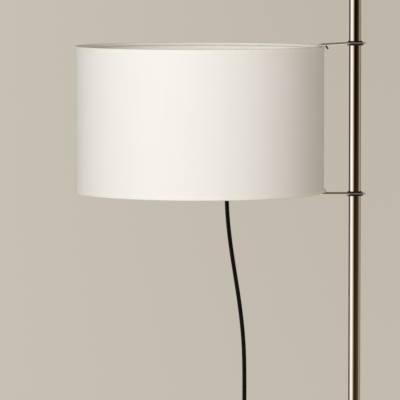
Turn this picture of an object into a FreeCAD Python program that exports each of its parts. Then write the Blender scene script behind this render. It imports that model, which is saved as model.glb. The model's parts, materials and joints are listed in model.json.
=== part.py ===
import FreeCAD, Part
import math
import os
from types import SimpleNamespace
import Sketcher
from FreeCAD import Placement, Rotation, Vector

# Column floor lamp, in millimetres.
# A drum shade is held beside a chromed column by two bent wire arms. Each arm is one wire
# that loops round the column and sits in a grooved rubber grip, so the shade can be slid up
# and down and swung round. The lower arm runs in under the shade and carries the lampholder.
# Z is the column's axis and points up, the floor is z = 0, and the shade lies towards -X.

SIZES = (
    # Column
    ("column_diameter", 20.0),
    ("column_wall", 1.5),
    ("column_top", 1650.0),
    ("cap_head", 3.0),
    ("cap_spigot", 12.0),
    ("cap_round", 1.4),
    ("insert_length", 42.0),
    ("seat_gap", 0.05),
    # Weighted foot
    ("foot_diameter", 280.0),
    ("foot_height", 22.0),
    ("foot_wall", 1.2),
    ("foot_lift", 2.0),
    ("foot_crown", 2200.0),
    ("foot_shoulder", 8.0),
    ("land_diameter", 44.0),
    ("weight_gap", 3.0),
    ("weight_edge", 2.0),
    ("pad_thickness", 3.0),
    ("pad_width", 26.0),
    ("pad_inset", 8.0),
    ("recess_diameter", 36.0),
    ("recess_depth", 9.5),
    ("bolt_diameter", 10.0),
    ("bolt_reach", 30.0),
    ("bolt_head_width", 16.0),
    ("bolt_head_height", 6.4),
    ("bolt_clearance", 0.5),
    ("washer_diameter", 24.0),
    ("washer_thickness", 2.0),
    ("collar_diameter", 34.0),
    ("collar_height", 15.0),
    ("collar_round", 5.0),
    ("grub_diameter", 4.0),
    ("grub_height", 5.5),
    ("grub_socket", 2.0),
    # Shade
    ("shade_reach", 258.5),
    ("shade_bottom", 1225.0),
    ("shade_height", 244.0),
    ("shade_diameter", 415.0),
    ("skin_thickness", 1.0),
    ("tape_thickness", 0.5),
    ("tape_width", 7.5),
    ("tape_inside", 5.5),
    ("tape_round", 1.4),
    ("rim_wire", 3.0),
    # Wire arms
    ("arm_wire", 3.2),
    ("arm_bend", 4.0),
    ("arm_ease", 30.0),
    ("arm_rise", 2.8),
    ("arm_level", 14.0),
    ("arm_end", 18.3),
    ("rim_gap", 0.2),
    ("tip_depth", 12.0),
    ("tip_gap", 2.0),
    ("prong_wire", 2.0),
    ("upper_prong_drop", 6.4),
    ("upper_prong_lean", 4.2),
    ("lower_prong_rise", 5.4),
    ("lower_prong_lean", 0.8),
    # Rubber grips
    ("grip_clearance", 0.05),
    ("grip_neck", 1.05),
    ("grip_diameter", 24.4),
    ("grip_height", 7.6),
    ("grip_edge", 0.8),
    ("groove_gap", 0.15),
    # Lampholder and its carrier
    ("holder_rise", 95.0),
    ("carrier_width", 18.0),
    ("carrier_end", 5.0),
    ("carrier_thickness", 2.0),
    ("nipple_diameter", 10.0),
    ("nipple_bore", 8.0),
    ("nipple_length", 17.0),
    ("nut_width", 14.0),
    ("nut_height", 3.5),
    ("gland_diameter", 15.0),
    ("gland_mouth", 10.0),
    ("gland_length", 12.5),
    ("holder_diameter", 39.0),
    ("holder_base", 26.0),
    ("holder_round", 15.0),
    ("holder_cap_height", 16.0),
    ("holder_height", 46.0),
    ("holder_wall", 1.8),
    ("holder_lip", 2.2),
    ("shoulder_height", 3.0),
    ("shoulder_width", 1.6),
    ("core_height", 8.0),
    ("thread_diameter", 27.6),
    ("thread_wall", 0.5),
    ("tongue_diameter", 8.0),
    ("tongue_tip", 4.0),
    ("tongue_height", 1.6),
    # Bulb
    ("bulb_diameter", 60.0),
    ("bulb_length", 105.0),
    ("bulb_neck", 26.0),
    ("bulb_wall", 0.8),
    ("screw_height", 24.0),
    ("screw_taper", 3.5),
    ("button_tip", 1.5),
    ("bulb_contact", 9.0),
    # Cord
    ("cord_diameter", 7.0),
    ("cord_gap", 0.1),
    ("cord_floor_gap", 0.05),
    ("cord_guide_x", -213.3),
    ("guide_length", 12.0),
    ("guide_height", 8.6),
    ("guide_end", 3.6),
    ("guide_slot", 2.6),
    # Put-away coil
    ("coil_x", -275.0),
    ("coil_y", 127.0),
    ("coil_radius", 49.0),
    ("coil_step", 7.8),
    ("coil_layer", 7.6),
    # Foot switch
    ("switch_x", -366.4),
    ("switch_y", 58.7),
    ("switch_heading", 140.0),
    ("switch_diameter", 64.0),
    ("switch_height", 20.0),
    ("switch_wall", 2.0),
    ("switch_round", 9.0),
    ("switch_base_height", 4.0),
    ("switch_base_edge", 1.5),
    ("switch_core_diameter", 24.0),
    ("switch_core_height", 8.0),
    ("press_diameter", 33.8),
    ("press_rise", 4.0),
    ("press_dome", 2.5),
    ("press_flange", 2.3),
    ("press_gap", 0.3),
    ("outlet_height", 10.5),
    ("outlet_depth", 4.0),
    ("relief_diameter", 12.0),
    ("relief_end", 9.0),
    ("relief_length", 26.0),
    ("relief_groove", 0.9),
    # Mains plug
    ("plug_x", -180.0),
    ("plug_y", 165.5),
    ("plug_diameter", 35.0),
    ("plug_length", 38.0),
    ("plug_front", 11.0),
    ("plug_rear", 13.0),
    ("plug_waist", 45.0),
    ("plug_edge", 1.5),
    ("pin_diameter", 4.8),
    ("pin_length", 19.0),
    ("pin_spacing", 19.0),
    ("pin_nose", 1.2),
)

# The hanging cord's route from the lampholder down to the foot switch: x and z, at y = 0.
LEAD_ROUTE = (
    (-258.5, 1304.5),
    (-258.5, 1294.0),
    (-255.8, 1283.9),
    (-250.5, 1274.8),
    (-243.1, 1267.3),
    (-228.7, 1259.0),
    (-221.3, 1251.6),
    (-216.0, 1242.5),
    (-213.3, 1232.4),
)
DROP_ROUTE = (
    (-213.3, 1211.0),
    (-212.2, 1188.0),
    (-209.7, 1160.0),
    (-205.5, 1127.0),
    (-199.1, 1086.0),
    (-193.1, 1048.0),
    (-187.8, 1006.0),
    (-184.6, 966.0),
    (-183.6, 922.0),
    (-183.7, 862.0),
    (-184.3, 785.0),
    (-185.5, 703.0),
    (-187.1, 615.0),
    (-189.2, 525.0),
    (-191.6, 435.0),
    (-194.5, 345.0),
    (-198.0, 260.0),
    (-202.3, 182.0),
    (-207.5, 122.0),
)
# From there it bends to the floor and runs to the foot switch: x, y and z.
FLOOR_ROUTE = (
    (-214.5, 0.0, 70.0),
    (-224.0, 0.0, 45.5),
    (-240.0, 0.0, 23.0),
    (-262.0, 0.0, 8.6),
    (-284.0, 0.5, 3.7),
    (-300.5, 5.0, 6.1),
)
# From the foot switch the cord turns back to the coil, and from the coil it runs to the plug.
LINK_ROUTE = (
    (-432.5, 126.0, 7.0),
    (-430.5, 148.0, 3.8),
    (-418.5, 166.5, 3.6),
    (-399.0, 177.5, 3.6),
    (-358.0, 179.2, 3.6),
)
SWITCH_RUN = 16.0
SWITCH_EXIT_RUN = 21.0
COIL_ENTRY_RUN = 36.0
TAIL_RUN = 21.0

COIL_HALF_TURNS_IN = 5
COIL_HALF_TURNS_OUT = 4
RELIEF_RIBS = 5

doc = FreeCAD.newDocument("ColumnFloorLamp")
sheet = doc.addObject("Spreadsheet::Sheet", "Sizes")
pieces = []


class Dim:
    """A length: its value, and the expression that ties it to the spreadsheet."""

    def __init__(self, value, text):
        self.value = value
        self.text = text

    def __float__(self):
        return self.value

    def __neg__(self):
        return Dim(-self.value, f"(-1 * {self.text})")

    def __add__(self, other):
        return Dim(self.value + float(other), f"({self.text} + {text_of(other)})")

    def __radd__(self, other):
        return self + other

    def __sub__(self, other):
        return Dim(self.value - float(other), f"({self.text} - {text_of(other)})")

    def __rsub__(self, other):
        return Dim(float(other) - self.value, f"({text_of(other)} - {self.text})")

    def __mul__(self, other):
        return Dim(self.value * float(other), f"({self.text} * {text_of(other)})")

    def __rmul__(self, other):
        return self * other

    def __truediv__(self, other):
        return Dim(self.value / float(other), f"({self.text} / {text_of(other)})")


def text_of(number):
    return number.text if isinstance(number, Dim) else repr(float(number))


def root(length):
    return Dim(math.sqrt(length.value), f"sqrt({length.text})")


def fill_sheet():
    """Write the driving dimensions and return them as lengths with their expressions."""
    for row, (name, value) in enumerate(SIZES, start=1):
        sheet.set(f"A{row}", name)
        sheet.set(f"B{row}", str(value))
        sheet.setAlias(f"B{row}", name)
    doc.recompute()
    lengths = {name: Dim(float(sheet.get(name)), f"Sizes.{name}") for name, _ in SIZES}
    return SimpleNamespace(**lengths)


# Sketches and features

def bind(target, path, length):
    """Set a numeric property, and tie it to the spreadsheet where the length comes from there."""
    if isinstance(length, Dim):
        target.setExpression(path, length.text)
    else:
        setattr(target, path, length)


def pin_point(sketch, shape, point, across, up):
    """Fix a point of a sketch by its two distances from the sketch's origin."""
    for kind, length in (("DistanceX", across), ("DistanceY", up)):
        pin = Sketcher.Constraint(kind, -1, 1, shape, point, float(length))
        index = sketch.addConstraint(pin)
        if isinstance(length, Dim):
            sketch.setExpression(f"Constraints[{index}]", length.text)


def fix_radius(sketch, shape, radius):
    index = sketch.addConstraint(Sketcher.Constraint("Radius", shape, float(radius)))
    if isinstance(radius, Dim):
        sketch.setExpression(f"Constraints[{index}]", radius.text)


def add_arc(sketch, start, finish, radius):
    """Add an arc that turns left from start to finish, or right where the radius is negative.
    Returns its number and which of its two ends comes first along the outline."""
    turns_left = float(radius) > 0
    length = radius if turns_left else -radius
    chord = finish - start
    rise = math.sqrt(max(0.0, float(length) ** 2 - (chord.Length / 2) ** 2))
    left = Vector(-chord.y, chord.x, 0) / chord.Length
    centre = (start + finish) / 2 + left * (rise if turns_left else -rise)
    first, last = (start, finish) if turns_left else (finish, start)
    first_angle = math.atan2(first.y - centre.y, first.x - centre.x)
    last_angle = math.atan2(last.y - centre.y, last.x - centre.x)
    if last_angle < first_angle:
        last_angle += 2 * math.pi
    circle = Part.Circle(centre, Vector(0, 0, 1), float(length))
    shape = sketch.addGeometry(Part.ArcOfCircle(circle, first_angle, last_angle))
    fix_radius(sketch, shape, length)
    return (shape, 1, 2) if turns_left else (shape, 2, 1)


def draw_outline(sketch, corners):
    """Draw a closed outline. A corner is (across, up), or (across, up, radius) where the edge
    that leaves it is an arc: a positive radius turns left, a negative one turns right."""
    places = [Vector(float(corner[0]), float(corner[1]), 0) for corner in corners]
    edges = []
    for start, finish, corner in zip(places, places[1:] + places[:1], corners):
        if len(corner) == 3:
            edges.append(add_arc(sketch, start, finish, corner[2]))
        else:
            edges.append((sketch.addGeometry(Part.LineSegment(start, finish)), 1, 2))
    for (shape, _, end), (following, begin, _) in zip(edges, edges[1:] + edges[:1]):
        sketch.addConstraint(Sketcher.Constraint("Coincident", shape, end, following, begin))
    for (shape, begin, _), corner in zip(edges, corners):
        pin_point(sketch, shape, begin, corner[0], corner[1])


def new_body(label):
    body = doc.addObject("PartDesign::Body", label)
    body.Label = label
    pieces.append(body)
    return body


def new_sketch(body, name, role):
    """A sketch on one of the body's own origin planes."""
    sketch = body.newObject("Sketcher::SketchObject", name)
    plane = next(item for item in body.Origin.OriginFeatures if item.Role == role)
    sketch.AttachmentSupport = [(plane, "")]
    sketch.MapMode = "FlatFace"
    return sketch


def turned(label, corners):
    """A turned piece: an outline of radius and height, revolved about the piece's own axis."""
    body = new_body(label)
    sketch = new_sketch(body, f"{label}_outline", "XZ_Plane")
    draw_outline(sketch, corners)
    turn = body.newObject("PartDesign::Revolution", f"{label}_turn")
    turn.Profile = (sketch, [""])
    turn.ReferenceAxis = (sketch, ["V_Axis"])
    turn.Angle = 360
    body.Tip = turn
    return body


def padded(label, role, corners, thickness, symmetric=False):
    """A flat piece: an outline on an origin plane, padded to its thickness."""
    body = new_body(label)
    sketch = new_sketch(body, f"{label}_outline", role)
    draw_outline(sketch, corners)
    pad = body.newObject("PartDesign::Pad", f"{label}_pad")
    pad.Profile = (sketch, [""])
    bind(pad, "Length", thickness)
    if symmetric:
        pad.SideType = "Symmetric"
    body.Tip = pad
    return body


def drill(body, name, role, circles):
    """Drill round holes right through a body, square to one of its origin planes."""
    doc.recompute()
    solid_before = body.Shape.Volume
    sketch = new_sketch(body, f"{name}_circles", role)
    for across, up, radius in circles:
        centre = Vector(float(across), float(up), 0)
        shape = sketch.addGeometry(Part.Circle(centre, Vector(0, 0, 1), float(radius)))
        pin_point(sketch, shape, 3, across, up)
        fix_radius(sketch, shape, radius)
    hole = body.newObject("PartDesign::Pocket", name)
    hole.Profile = (sketch, [""])
    hole.Type = "ThroughAll"
    hole.SideType = "Symmetric"
    body.Tip = hole
    doc.recompute()
    if not body.Shape.Volume < solid_before:
        raise RuntimeError(f"{name} removed nothing")


def primitive(kind, name, **properties):
    """A Part primitive with its sizes tied to the spreadsheet."""
    item = doc.addObject(f"Part::{kind}", name)
    for path, length in properties.items():
        bind(item, path, length)
    return item


def join(kind, label, base, tool):
    """A Part boolean of two objects, kept as one piece of the lamp."""
    item = doc.addObject(f"Part::{kind}", label)
    item.Label = label
    item.Base = base
    item.Tool = tool
    pieces.append(item)
    return item


def shaped(label, shape):
    """A piece whose shape comes from a swept path."""
    item = doc.addObject("Part::Feature", label)
    item.Label = label
    item.Shape = shape
    pieces.append(item)
    return item


def place(item, across=0.0, deep=0.0, up=0.0):
    """Stand a piece at its place, tied to the spreadsheet where a coordinate comes from there."""
    item.Placement = Placement(Vector(across, deep, up), Rotation())
    for axis, length in (("x", across), ("y", deep), ("z", up)):
        if isinstance(length, Dim):
            item.setExpression(f".Placement.Base.{axis}", length.text)


# Swept paths

def corner_arc(before, corner, after, radius):
    """The two ends and the middle of the arc that rounds one corner of a path."""
    incoming = (corner - before).normalize()
    outgoing = (after - corner).normalize()
    half_turn = incoming.getAngle(outgoing) / 2
    reach = radius * math.tan(half_turn)
    bisector = (outgoing - incoming).normalize()
    centre = corner + bisector * (radius / math.cos(half_turn))
    return corner - incoming * reach, centre - bisector * radius, corner + outgoing * reach


def rounded_path(points, radii):
    """Straight runs through the points, joined by tangent arcs of the given radii."""
    touching = 0.001
    edges = []
    start = points[0]
    stops = zip(points, points[1:], points[2:], radii)
    for before, corner, after, radius in stops:
        first, middle, last = corner_arc(before, corner, after, radius)
        if start.distanceToPoint(first) > touching:
            edges.append(Part.LineSegment(start, first).toShape())
        edges.append(Part.Arc(first, middle, last).toShape())
        start = last
    edges.append(Part.LineSegment(start, points[-1]).toShape())
    return edges


def swept_tube(label, edges, diameter):
    """A round wire or cord along a path. Its volume is compared with section times length."""
    tolerance = 0.01
    path = Part.Wire(edges)
    first = edges[0]
    start = first.valueAt(first.FirstParameter)
    heading = first.tangentAt(first.FirstParameter)
    ring = Part.Wire(Part.Circle(start, heading, diameter / 2).toShape())
    tube = path.makePipeShell([ring], True, False)
    expected = math.pi * diameter ** 2 / 4 * path.Length
    if abs(tube.Volume / expected - 1) > tolerance:
        raise RuntimeError(f"{label}: volume {tube.Volume:.0f}, expected {expected:.0f}")
    print(f"{label}: length {path.Length:.1f}, volume / (section x length) {tube.Volume / expected:.5f}")
    return tube


def route_radii(points):
    """Each arc of a cord is as large as its two runs allow: it takes just under half of each."""
    share = 0.45
    radii = []
    for before, corner, after in zip(points, points[1:], points[2:]):
        turn = (corner - before).getAngle(after - corner)
        shorter = min(corner.distanceToPoint(before), after.distanceToPoint(corner))
        radii.append(share * shorter / math.tan(turn / 2))
    return radii


def least_gap(edges, diameter):
    """The least clear distance between a wound cord's turns, measured on points of its axis.
    A point isn't set against those next to it on the cord, up to a few diameters away."""
    step = 2.5
    own_diameters = 4
    points = Part.Wire(edges).discretize(Distance=step)
    skip = int(own_diameters * diameter / step)
    nearest = min(
        near.distanceToPoint(far)
        for index, near in enumerate(points)
        for far in points[index + skip:]
    )
    return nearest - diameter


size = fill_sheet()

# Values that several pieces share

column_radius = size.column_diameter / 2
wire_radius = size.arm_wire / 2
rim_radius = size.shade_diameter / 2
skin_outer = rim_radius - size.tape_thickness - size.seat_gap
skin_inner = skin_outer - size.skin_thickness
rim_wire_radius = size.rim_wire / 2
rim_wire_centre = skin_inner - size.seat_gap - rim_wire_radius
tape_inner = rim_wire_centre - rim_wire_radius - size.seat_gap - size.tape_thickness
shade_top = size.shade_bottom + size.shade_height
shade_x = -size.shade_reach

grip_bore = column_radius + size.grip_clearance
groove_radius = wire_radius + size.groove_gap
leg_offset = grip_bore + size.grip_neck + groove_radius
upper_rim_level = shade_top + size.rim_gap + wire_radius
upper_seat_level = upper_rim_level + size.arm_rise
lower_seat_level = size.shade_bottom - size.rim_gap - wire_radius

carrier_level = size.shade_bottom + size.holder_rise
holder_level = carrier_level + size.carrier_thickness
nipple_radius = size.nipple_diameter / 2
cord_radius = size.cord_diameter / 2
cord_level = cord_radius + size.cord_floor_gap


def weighted_foot():
    """A domed steel cover over a cast weight, bolted up into the column, on a rubber ring."""
    foot_radius = size.foot_diameter / 2
    land_radius = size.land_diameter / 2
    bore = size.bolt_diameter / 2 + size.bolt_clearance
    crown_centre = size.foot_height - size.foot_crown
    shoulder_x = foot_radius - size.foot_shoulder
    arm = size.foot_crown - size.foot_shoulder
    across = shoulder_x - land_radius
    shoulder_z = crown_centre + root(arm * arm - across * across)

    def crown_end(radius):
        """Where the crown, drawn at this radius, meets the shoulder."""
        share = radius / arm
        return land_radius + across * share, crown_centre + (shoulder_z - crown_centre) * share

    inner_crown = size.foot_crown - size.foot_wall
    inner_shoulder = size.foot_shoulder - size.foot_wall
    outer_x, outer_z = crown_end(size.foot_crown)
    inner_x, inner_z = crown_end(inner_crown)
    inner_top = size.foot_height - size.foot_wall
    inner_radius = foot_radius - size.foot_wall
    turned("foot_cover", (
        (bore, size.foot_height),
        (bore, inner_top),
        (land_radius, inner_top, -inner_crown),
        (inner_x, inner_z, -inner_shoulder),
        (inner_radius, shoulder_z),
        (inner_radius, size.foot_lift),
        (foot_radius, size.foot_lift),
        (foot_radius, shoulder_z, size.foot_shoulder),
        (outer_x, outer_z, size.foot_crown),
        (land_radius, size.foot_height),
    ))

    weight_radius = inner_radius - size.weight_gap
    weight_side = inner_z - size.foot_shoulder
    recess_radius = size.recess_diameter / 2
    recess_top = size.pad_thickness + size.recess_depth
    turned("foot_weight", (
        (bore, inner_top),
        (bore, recess_top),
        (recess_radius, recess_top),
        (recess_radius, size.pad_thickness),
        (weight_radius - size.weight_edge, size.pad_thickness),
        (weight_radius, size.pad_thickness + size.weight_edge),
        (weight_radius, weight_side),
        (inner_x - size.foot_shoulder, inner_z - size.foot_wall),
        (land_radius, inner_top),
    ))

    pad_outer = weight_radius - size.pad_inset
    pad_inner = pad_outer - size.pad_width
    turned("foot_pad", (
        (pad_inner, 0),
        (pad_outer, 0),
        (pad_outer, size.pad_thickness),
        (pad_inner, size.pad_thickness),
    ))

    washer_level = recess_top - size.washer_thickness
    washer = turned("foot_washer", (
        (bore, 0),
        (size.washer_diameter / 2, 0),
        (size.washer_diameter / 2, size.washer_thickness),
        (bore, size.washer_thickness),
    ))
    place(washer, up=washer_level)

    head = primitive(
        "Prism", "bolt_head",
        Polygon=6,
        Circumradius=size.bolt_head_width / math.sqrt(3),
        Height=size.bolt_head_height,
    )
    place(head, up=washer_level - size.bolt_head_height)
    shank = primitive(
        "Cylinder", "bolt_shank",
        Radius=size.bolt_diameter / 2,
        Height=size.foot_height - washer_level + size.bolt_reach,
    )
    place(shank, up=washer_level)
    join("Fuse", "foot_bolt", head, shank)


def column():
    """A chromed tube with a threaded insert at its foot, a collar round it and a cap on top."""
    bore = column_radius - size.column_wall
    plug_radius = bore - size.seat_gap
    tube_length = size.column_top - size.foot_height
    tube = turned("column_tube", (
        (bore, 0),
        (column_radius, 0),
        (column_radius, tube_length),
        (bore, tube_length),
    ))
    place(tube, up=size.foot_height)

    insert = turned("column_insert", (
        (size.bolt_diameter / 2 + size.seat_gap, 0),
        (plug_radius, 0),
        (plug_radius, size.insert_length),
        (size.bolt_diameter / 2 + size.seat_gap, size.insert_length),
    ))
    place(insert, up=size.foot_height)

    cap = turned("column_cap", (
        (0, -size.cap_spigot),
        (plug_radius, -size.cap_spigot),
        (plug_radius, 0),
        (column_radius, 0),
        (column_radius, size.cap_head - size.cap_round, size.cap_round),
        (column_radius - size.cap_round, size.cap_head),
        (0, size.cap_head),
    ))
    place(cap, up=size.column_top)

    collar_bore = column_radius + size.seat_gap
    collar_radius = size.collar_diameter / 2
    collar = turned("column_collar", (
        (collar_bore, 0),
        (collar_radius, 0),
        (collar_radius, size.collar_height - size.collar_round, size.collar_round),
        (collar_radius - size.collar_round, size.collar_height),
        (collar_bore, size.collar_height),
    ))
    grub_radius = size.grub_diameter / 2
    drill(collar, "grub_holes", "XZ_Plane", ((0, size.grub_height, grub_radius + size.seat_gap),))
    place(collar, up=size.foot_height)

    screws = []
    for side in (1, -1):
        outward = Vector(0, side, 0)
        seat = Vector(0, side * float(collar_bore), float(size.foot_height + size.grub_height))
        length = float(collar_radius - collar_bore)
        screw = Part.makeCylinder(float(grub_radius), length, seat, outward)
        socket_depth = float(size.grub_socket)
        socket_seat = seat + outward * (length - socket_depth)
        socket = Part.makeCylinder(float(grub_radius) / 2, socket_depth, socket_seat, outward)
        screws.append(screw.cut(socket))
    shaped("collar_screws", Part.makeCompound(screws))


def rubber_grip(label, level):
    """A rubber ring on the column with a groove round it for the arm's wire."""
    flange = size.grip_diameter / 2
    half_height = size.grip_height / 2
    depth = leg_offset - flange
    mouth = root(groove_radius * groove_radius - depth * depth)
    grip = turned(label, (
        (grip_bore, -half_height),
        (flange - size.grip_edge, -half_height),
        (flange, -half_height + size.grip_edge),
        (flange, -mouth, -groove_radius),
        (flange, mouth),
        (flange, half_height - size.grip_edge),
        (flange - size.grip_edge, half_height),
        (grip_bore, half_height),
    ))
    place(grip, up=level)


def hairpin(label, leg, leg_radii, prong_rise, prong_lean):
    """One bent wire: a leg, a half turn round the column and the same leg back, with a short
    prong on each leg that stands just outside the shade's rim. A leg is given as (x, z)."""
    offset = float(leg_offset)
    turn_x = float(size.arm_end - wire_radius)
    seat_level = leg[-1][1]
    front = [Vector(x, -offset, z) for x, z in leg[:-1]]
    back = [Vector(point.x, offset, point.z) for point in reversed(front)]
    loop = [Vector(turn_x, -offset, seat_level), Vector(turn_x, offset, seat_level)]
    radii = list(leg_radii) + [offset, offset] + list(reversed(leg_radii))
    edges = rounded_path(front + loop + back, radii)
    wire = swept_tube(label, edges, float(size.arm_wire))

    prong_radius = float(size.prong_wire) / 2
    rim_x = float(shade_x) + math.sqrt(float(rim_radius) ** 2 - offset ** 2)
    root_x = rim_x + prong_radius + float(size.rim_gap)
    (low_x, low_z), (high_x, high_z) = leg[1], leg[2]
    root_z = low_z + (high_z - low_z) * (root_x - low_x) / (high_x - low_x)
    reach = Vector(prong_lean, 0, prong_rise)
    prongs = []
    for side in (-offset, offset):
        base = Vector(root_x, side, root_z)
        prongs.append(Part.makeCylinder(prong_radius, reach.Length, base, reach))
        prongs.append(Part.makeSphere(prong_radius, base + reach))
    return shaped(label, wire.fuse(prongs).removeSplitter())


def arms():
    """The upper arm hooks over the shade's top rim. The lower arm runs in under the bottom rim
    to the middle of the shade, where it turns up to the lampholder's carrier."""
    rubber_grip("grip_ring_top", upper_seat_level)
    rubber_grip("grip_ring_bottom", lower_seat_level)

    offset = float(leg_offset)
    inner_rim = float(shade_x) + math.sqrt(float(tape_inner) ** 2 - offset ** 2)
    tip_x = inner_rim - float(size.tip_gap + wire_radius)
    rim_level = float(upper_rim_level)
    seat_level = float(upper_seat_level)
    upper_leg = (
        (tip_x, rim_level - float(size.tip_depth)),
        (tip_x, rim_level),
        (-float(size.arm_level), seat_level),
        (0.0, seat_level),
    )
    bend = float(size.arm_bend)
    hairpin(
        "arm_top", upper_leg, (bend, float(size.arm_ease)),
        -float(size.upper_prong_drop), float(size.upper_prong_lean),
    )

    low_level = float(lower_seat_level)
    middle_x = float(shade_x)
    lower_leg = (
        (middle_x, float(holder_level)),
        (middle_x, low_level),
        (0.0, low_level),
    )
    hairpin(
        "arm_bottom", lower_leg, (bend,),
        float(size.lower_prong_rise), float(size.lower_prong_lean),
    )


def shade():
    """A drum of stiff sheet between two wire rings, with a folded tape round each rim."""
    skin_height = size.shade_height - size.tape_round * 2
    skin = turned("shade_skin", (
        (skin_inner, 0),
        (skin_outer, 0),
        (skin_outer, skin_height),
        (skin_inner, skin_height),
    ))
    place(skin, shade_x, up=size.shade_bottom + size.tape_round)

    fold_inner = size.tape_round - size.tape_thickness
    ring_inset = size.tape_thickness + size.seat_gap + rim_wire_radius
    for name, level, inward in (("top", shade_top, -1), ("bottom", size.shade_bottom, 1)):
        ring = primitive("Torus", f"rim_wire_{name}", Radius1=rim_wire_centre, Radius2=rim_wire_radius)
        ring.Label = f"rim_wire_{name}"
        place(ring, shade_x, up=level + ring_inset * inward)
        pieces.append(ring)

        fold = size.tape_thickness * inward
        bend = size.tape_round * inward
        outer_edge = size.tape_width * inward
        inner_edge = size.tape_inside * inward
        tape = turned(f"rim_tape_{name}", (
            (tape_inner + size.tape_round, 0, size.tape_round * -inward),
            (tape_inner, bend),
            (tape_inner, inner_edge),
            (tape_inner + size.tape_thickness, inner_edge),
            (tape_inner + size.tape_thickness, bend, fold_inner * inward),
            (tape_inner + size.tape_round, fold),
            (rim_radius - size.tape_round, fold, fold_inner * inward),
            (rim_radius - size.tape_thickness, bend),
            (rim_radius - size.tape_thickness, outer_edge),
            (rim_radius, outer_edge),
            (rim_radius, bend, size.tape_round * -inward),
            (rim_radius - size.tape_round, 0),
        ))
        place(tape, shade_x, up=level)


def holder_carrier():
    """The flat bar welded to the lower arm's two ends, with the lampholder's nipple through it."""
    half_length = leg_offset + wire_radius + size.carrier_end
    half_width = size.carrier_width / 2
    round_end = half_width / 2
    carrier = padded("holder_carrier", "XY_Plane", (
        (-half_width, -half_length + round_end, round_end),
        (-half_width + round_end, -half_length),
        (half_width - round_end, -half_length, round_end),
        (half_width, -half_length + round_end),
        (half_width, half_length - round_end, round_end),
        (half_width - round_end, half_length),
        (-half_width + round_end, half_length, round_end),
        (-half_width, half_length - round_end),
    ), size.carrier_thickness)
    drill(carrier, "carrier_holes", "XY_Plane", (
        (0, 0, nipple_radius + size.seat_gap),
        (0, leg_offset, wire_radius + size.seat_gap),
        (0, -leg_offset, wire_radius + size.seat_gap),
    ))
    place(carrier, shade_x, up=carrier_level)

    nut = primitive(
        "Prism", "nut_body",
        Polygon=6,
        Circumradius=size.nut_width / math.sqrt(3),
        Height=size.nut_height,
    )
    nut_level = carrier_level - size.nut_height
    place(nut, shade_x, up=nut_level)
    nut_bore = primitive("Cylinder", "nut_bore", Radius=nipple_radius + size.seat_gap, Height=size.nut_height)
    place(nut_bore, shade_x, up=nut_level)
    join("Cut", "holder_nut", nut, nut_bore)

    nipple_top = size.holder_wall + size.nut_height
    nipple = turned("holder_nipple", (
        (size.nipple_bore / 2, nipple_top - size.nipple_length),
        (nipple_radius, nipple_top - size.nipple_length),
        (nipple_radius, nipple_top),
        (size.nipple_bore / 2, nipple_top),
    ))
    place(nipple, shade_x, up=holder_level)

    gland_radius = size.gland_diameter / 2
    nipple_depth = size.nipple_length - nipple_top - size.carrier_thickness - size.nut_height
    gland = turned("cord_gland", (
        (nipple_radius + size.seat_gap, 0),
        (nipple_radius + size.seat_gap, -nipple_depth),
        (cord_radius + size.cord_gap, -nipple_depth - size.seat_gap),
        (cord_radius + size.cord_gap, -size.gland_length),
        (size.gland_mouth / 2, -size.gland_length),
        (gland_radius, -size.gland_length / 2),
        (gland_radius, 0),
    ))
    place(gland, shade_x, up=nut_level)


def lampholder():
    """A domed cap, a skirt with a shoulder, a ceramic core, a brass thread and a contact."""
    outer = size.holder_diameter / 2
    base = size.holder_base / 2
    nipple_hole = nipple_radius + size.seat_gap
    wall = size.holder_wall
    cap_top = size.holder_cap_height
    cap = turned("holder_cap", (
        (nipple_hole, 0),
        (base, 0, size.holder_round),
        (outer, cap_top),
        (outer - wall, cap_top, -size.holder_round),
        (base - wall / 2, wall),
        (nipple_hole, wall),
    ))
    place(cap, shade_x, up=holder_level)

    lip = outer - wall - size.holder_lip
    shoulder_foot = cap_top + size.shoulder_height
    skirt = turned("holder_skirt", (
        (outer - wall, cap_top),
        (outer + size.shoulder_width, cap_top),
        (outer + size.shoulder_width, shoulder_foot),
        (outer, shoulder_foot),
        (outer, size.holder_height),
        (lip, size.holder_height),
        (lip, size.holder_height - wall),
        (outer - wall, size.holder_height - wall),
    ))
    place(skirt, shade_x, up=holder_level)

    core_level = cap_top - size.core_height / 2
    core_top = core_level + size.core_height
    core_radius = outer - wall - size.seat_gap
    core = turned("holder_core", (
        (0, core_level),
        (core_radius - wall, core_level),
        (core_radius - wall, cap_top + size.seat_gap),
        (core_radius, cap_top + size.seat_gap),
        (core_radius, core_top),
        (0, core_top),
    ))
    place(core, shade_x, up=holder_level)

    thread_inner = size.thread_diameter / 2
    thread_outer = thread_inner + size.thread_wall
    thread_top = size.holder_height - wall
    thread = turned("holder_thread", (
        (thread_inner, core_top),
        (thread_outer, core_top),
        (thread_outer, thread_top),
        (thread_inner, thread_top),
    ))
    place(thread, shade_x, up=holder_level)

    tongue = turned("holder_contact", (
        (0, core_top),
        (size.tongue_diameter / 2, core_top),
        (size.tongue_tip / 2, core_top + size.tongue_height),
        (0, core_top + size.tongue_height),
    ))
    place(tongue, shade_x, up=holder_level)
    return core_top + size.tongue_height


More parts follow.
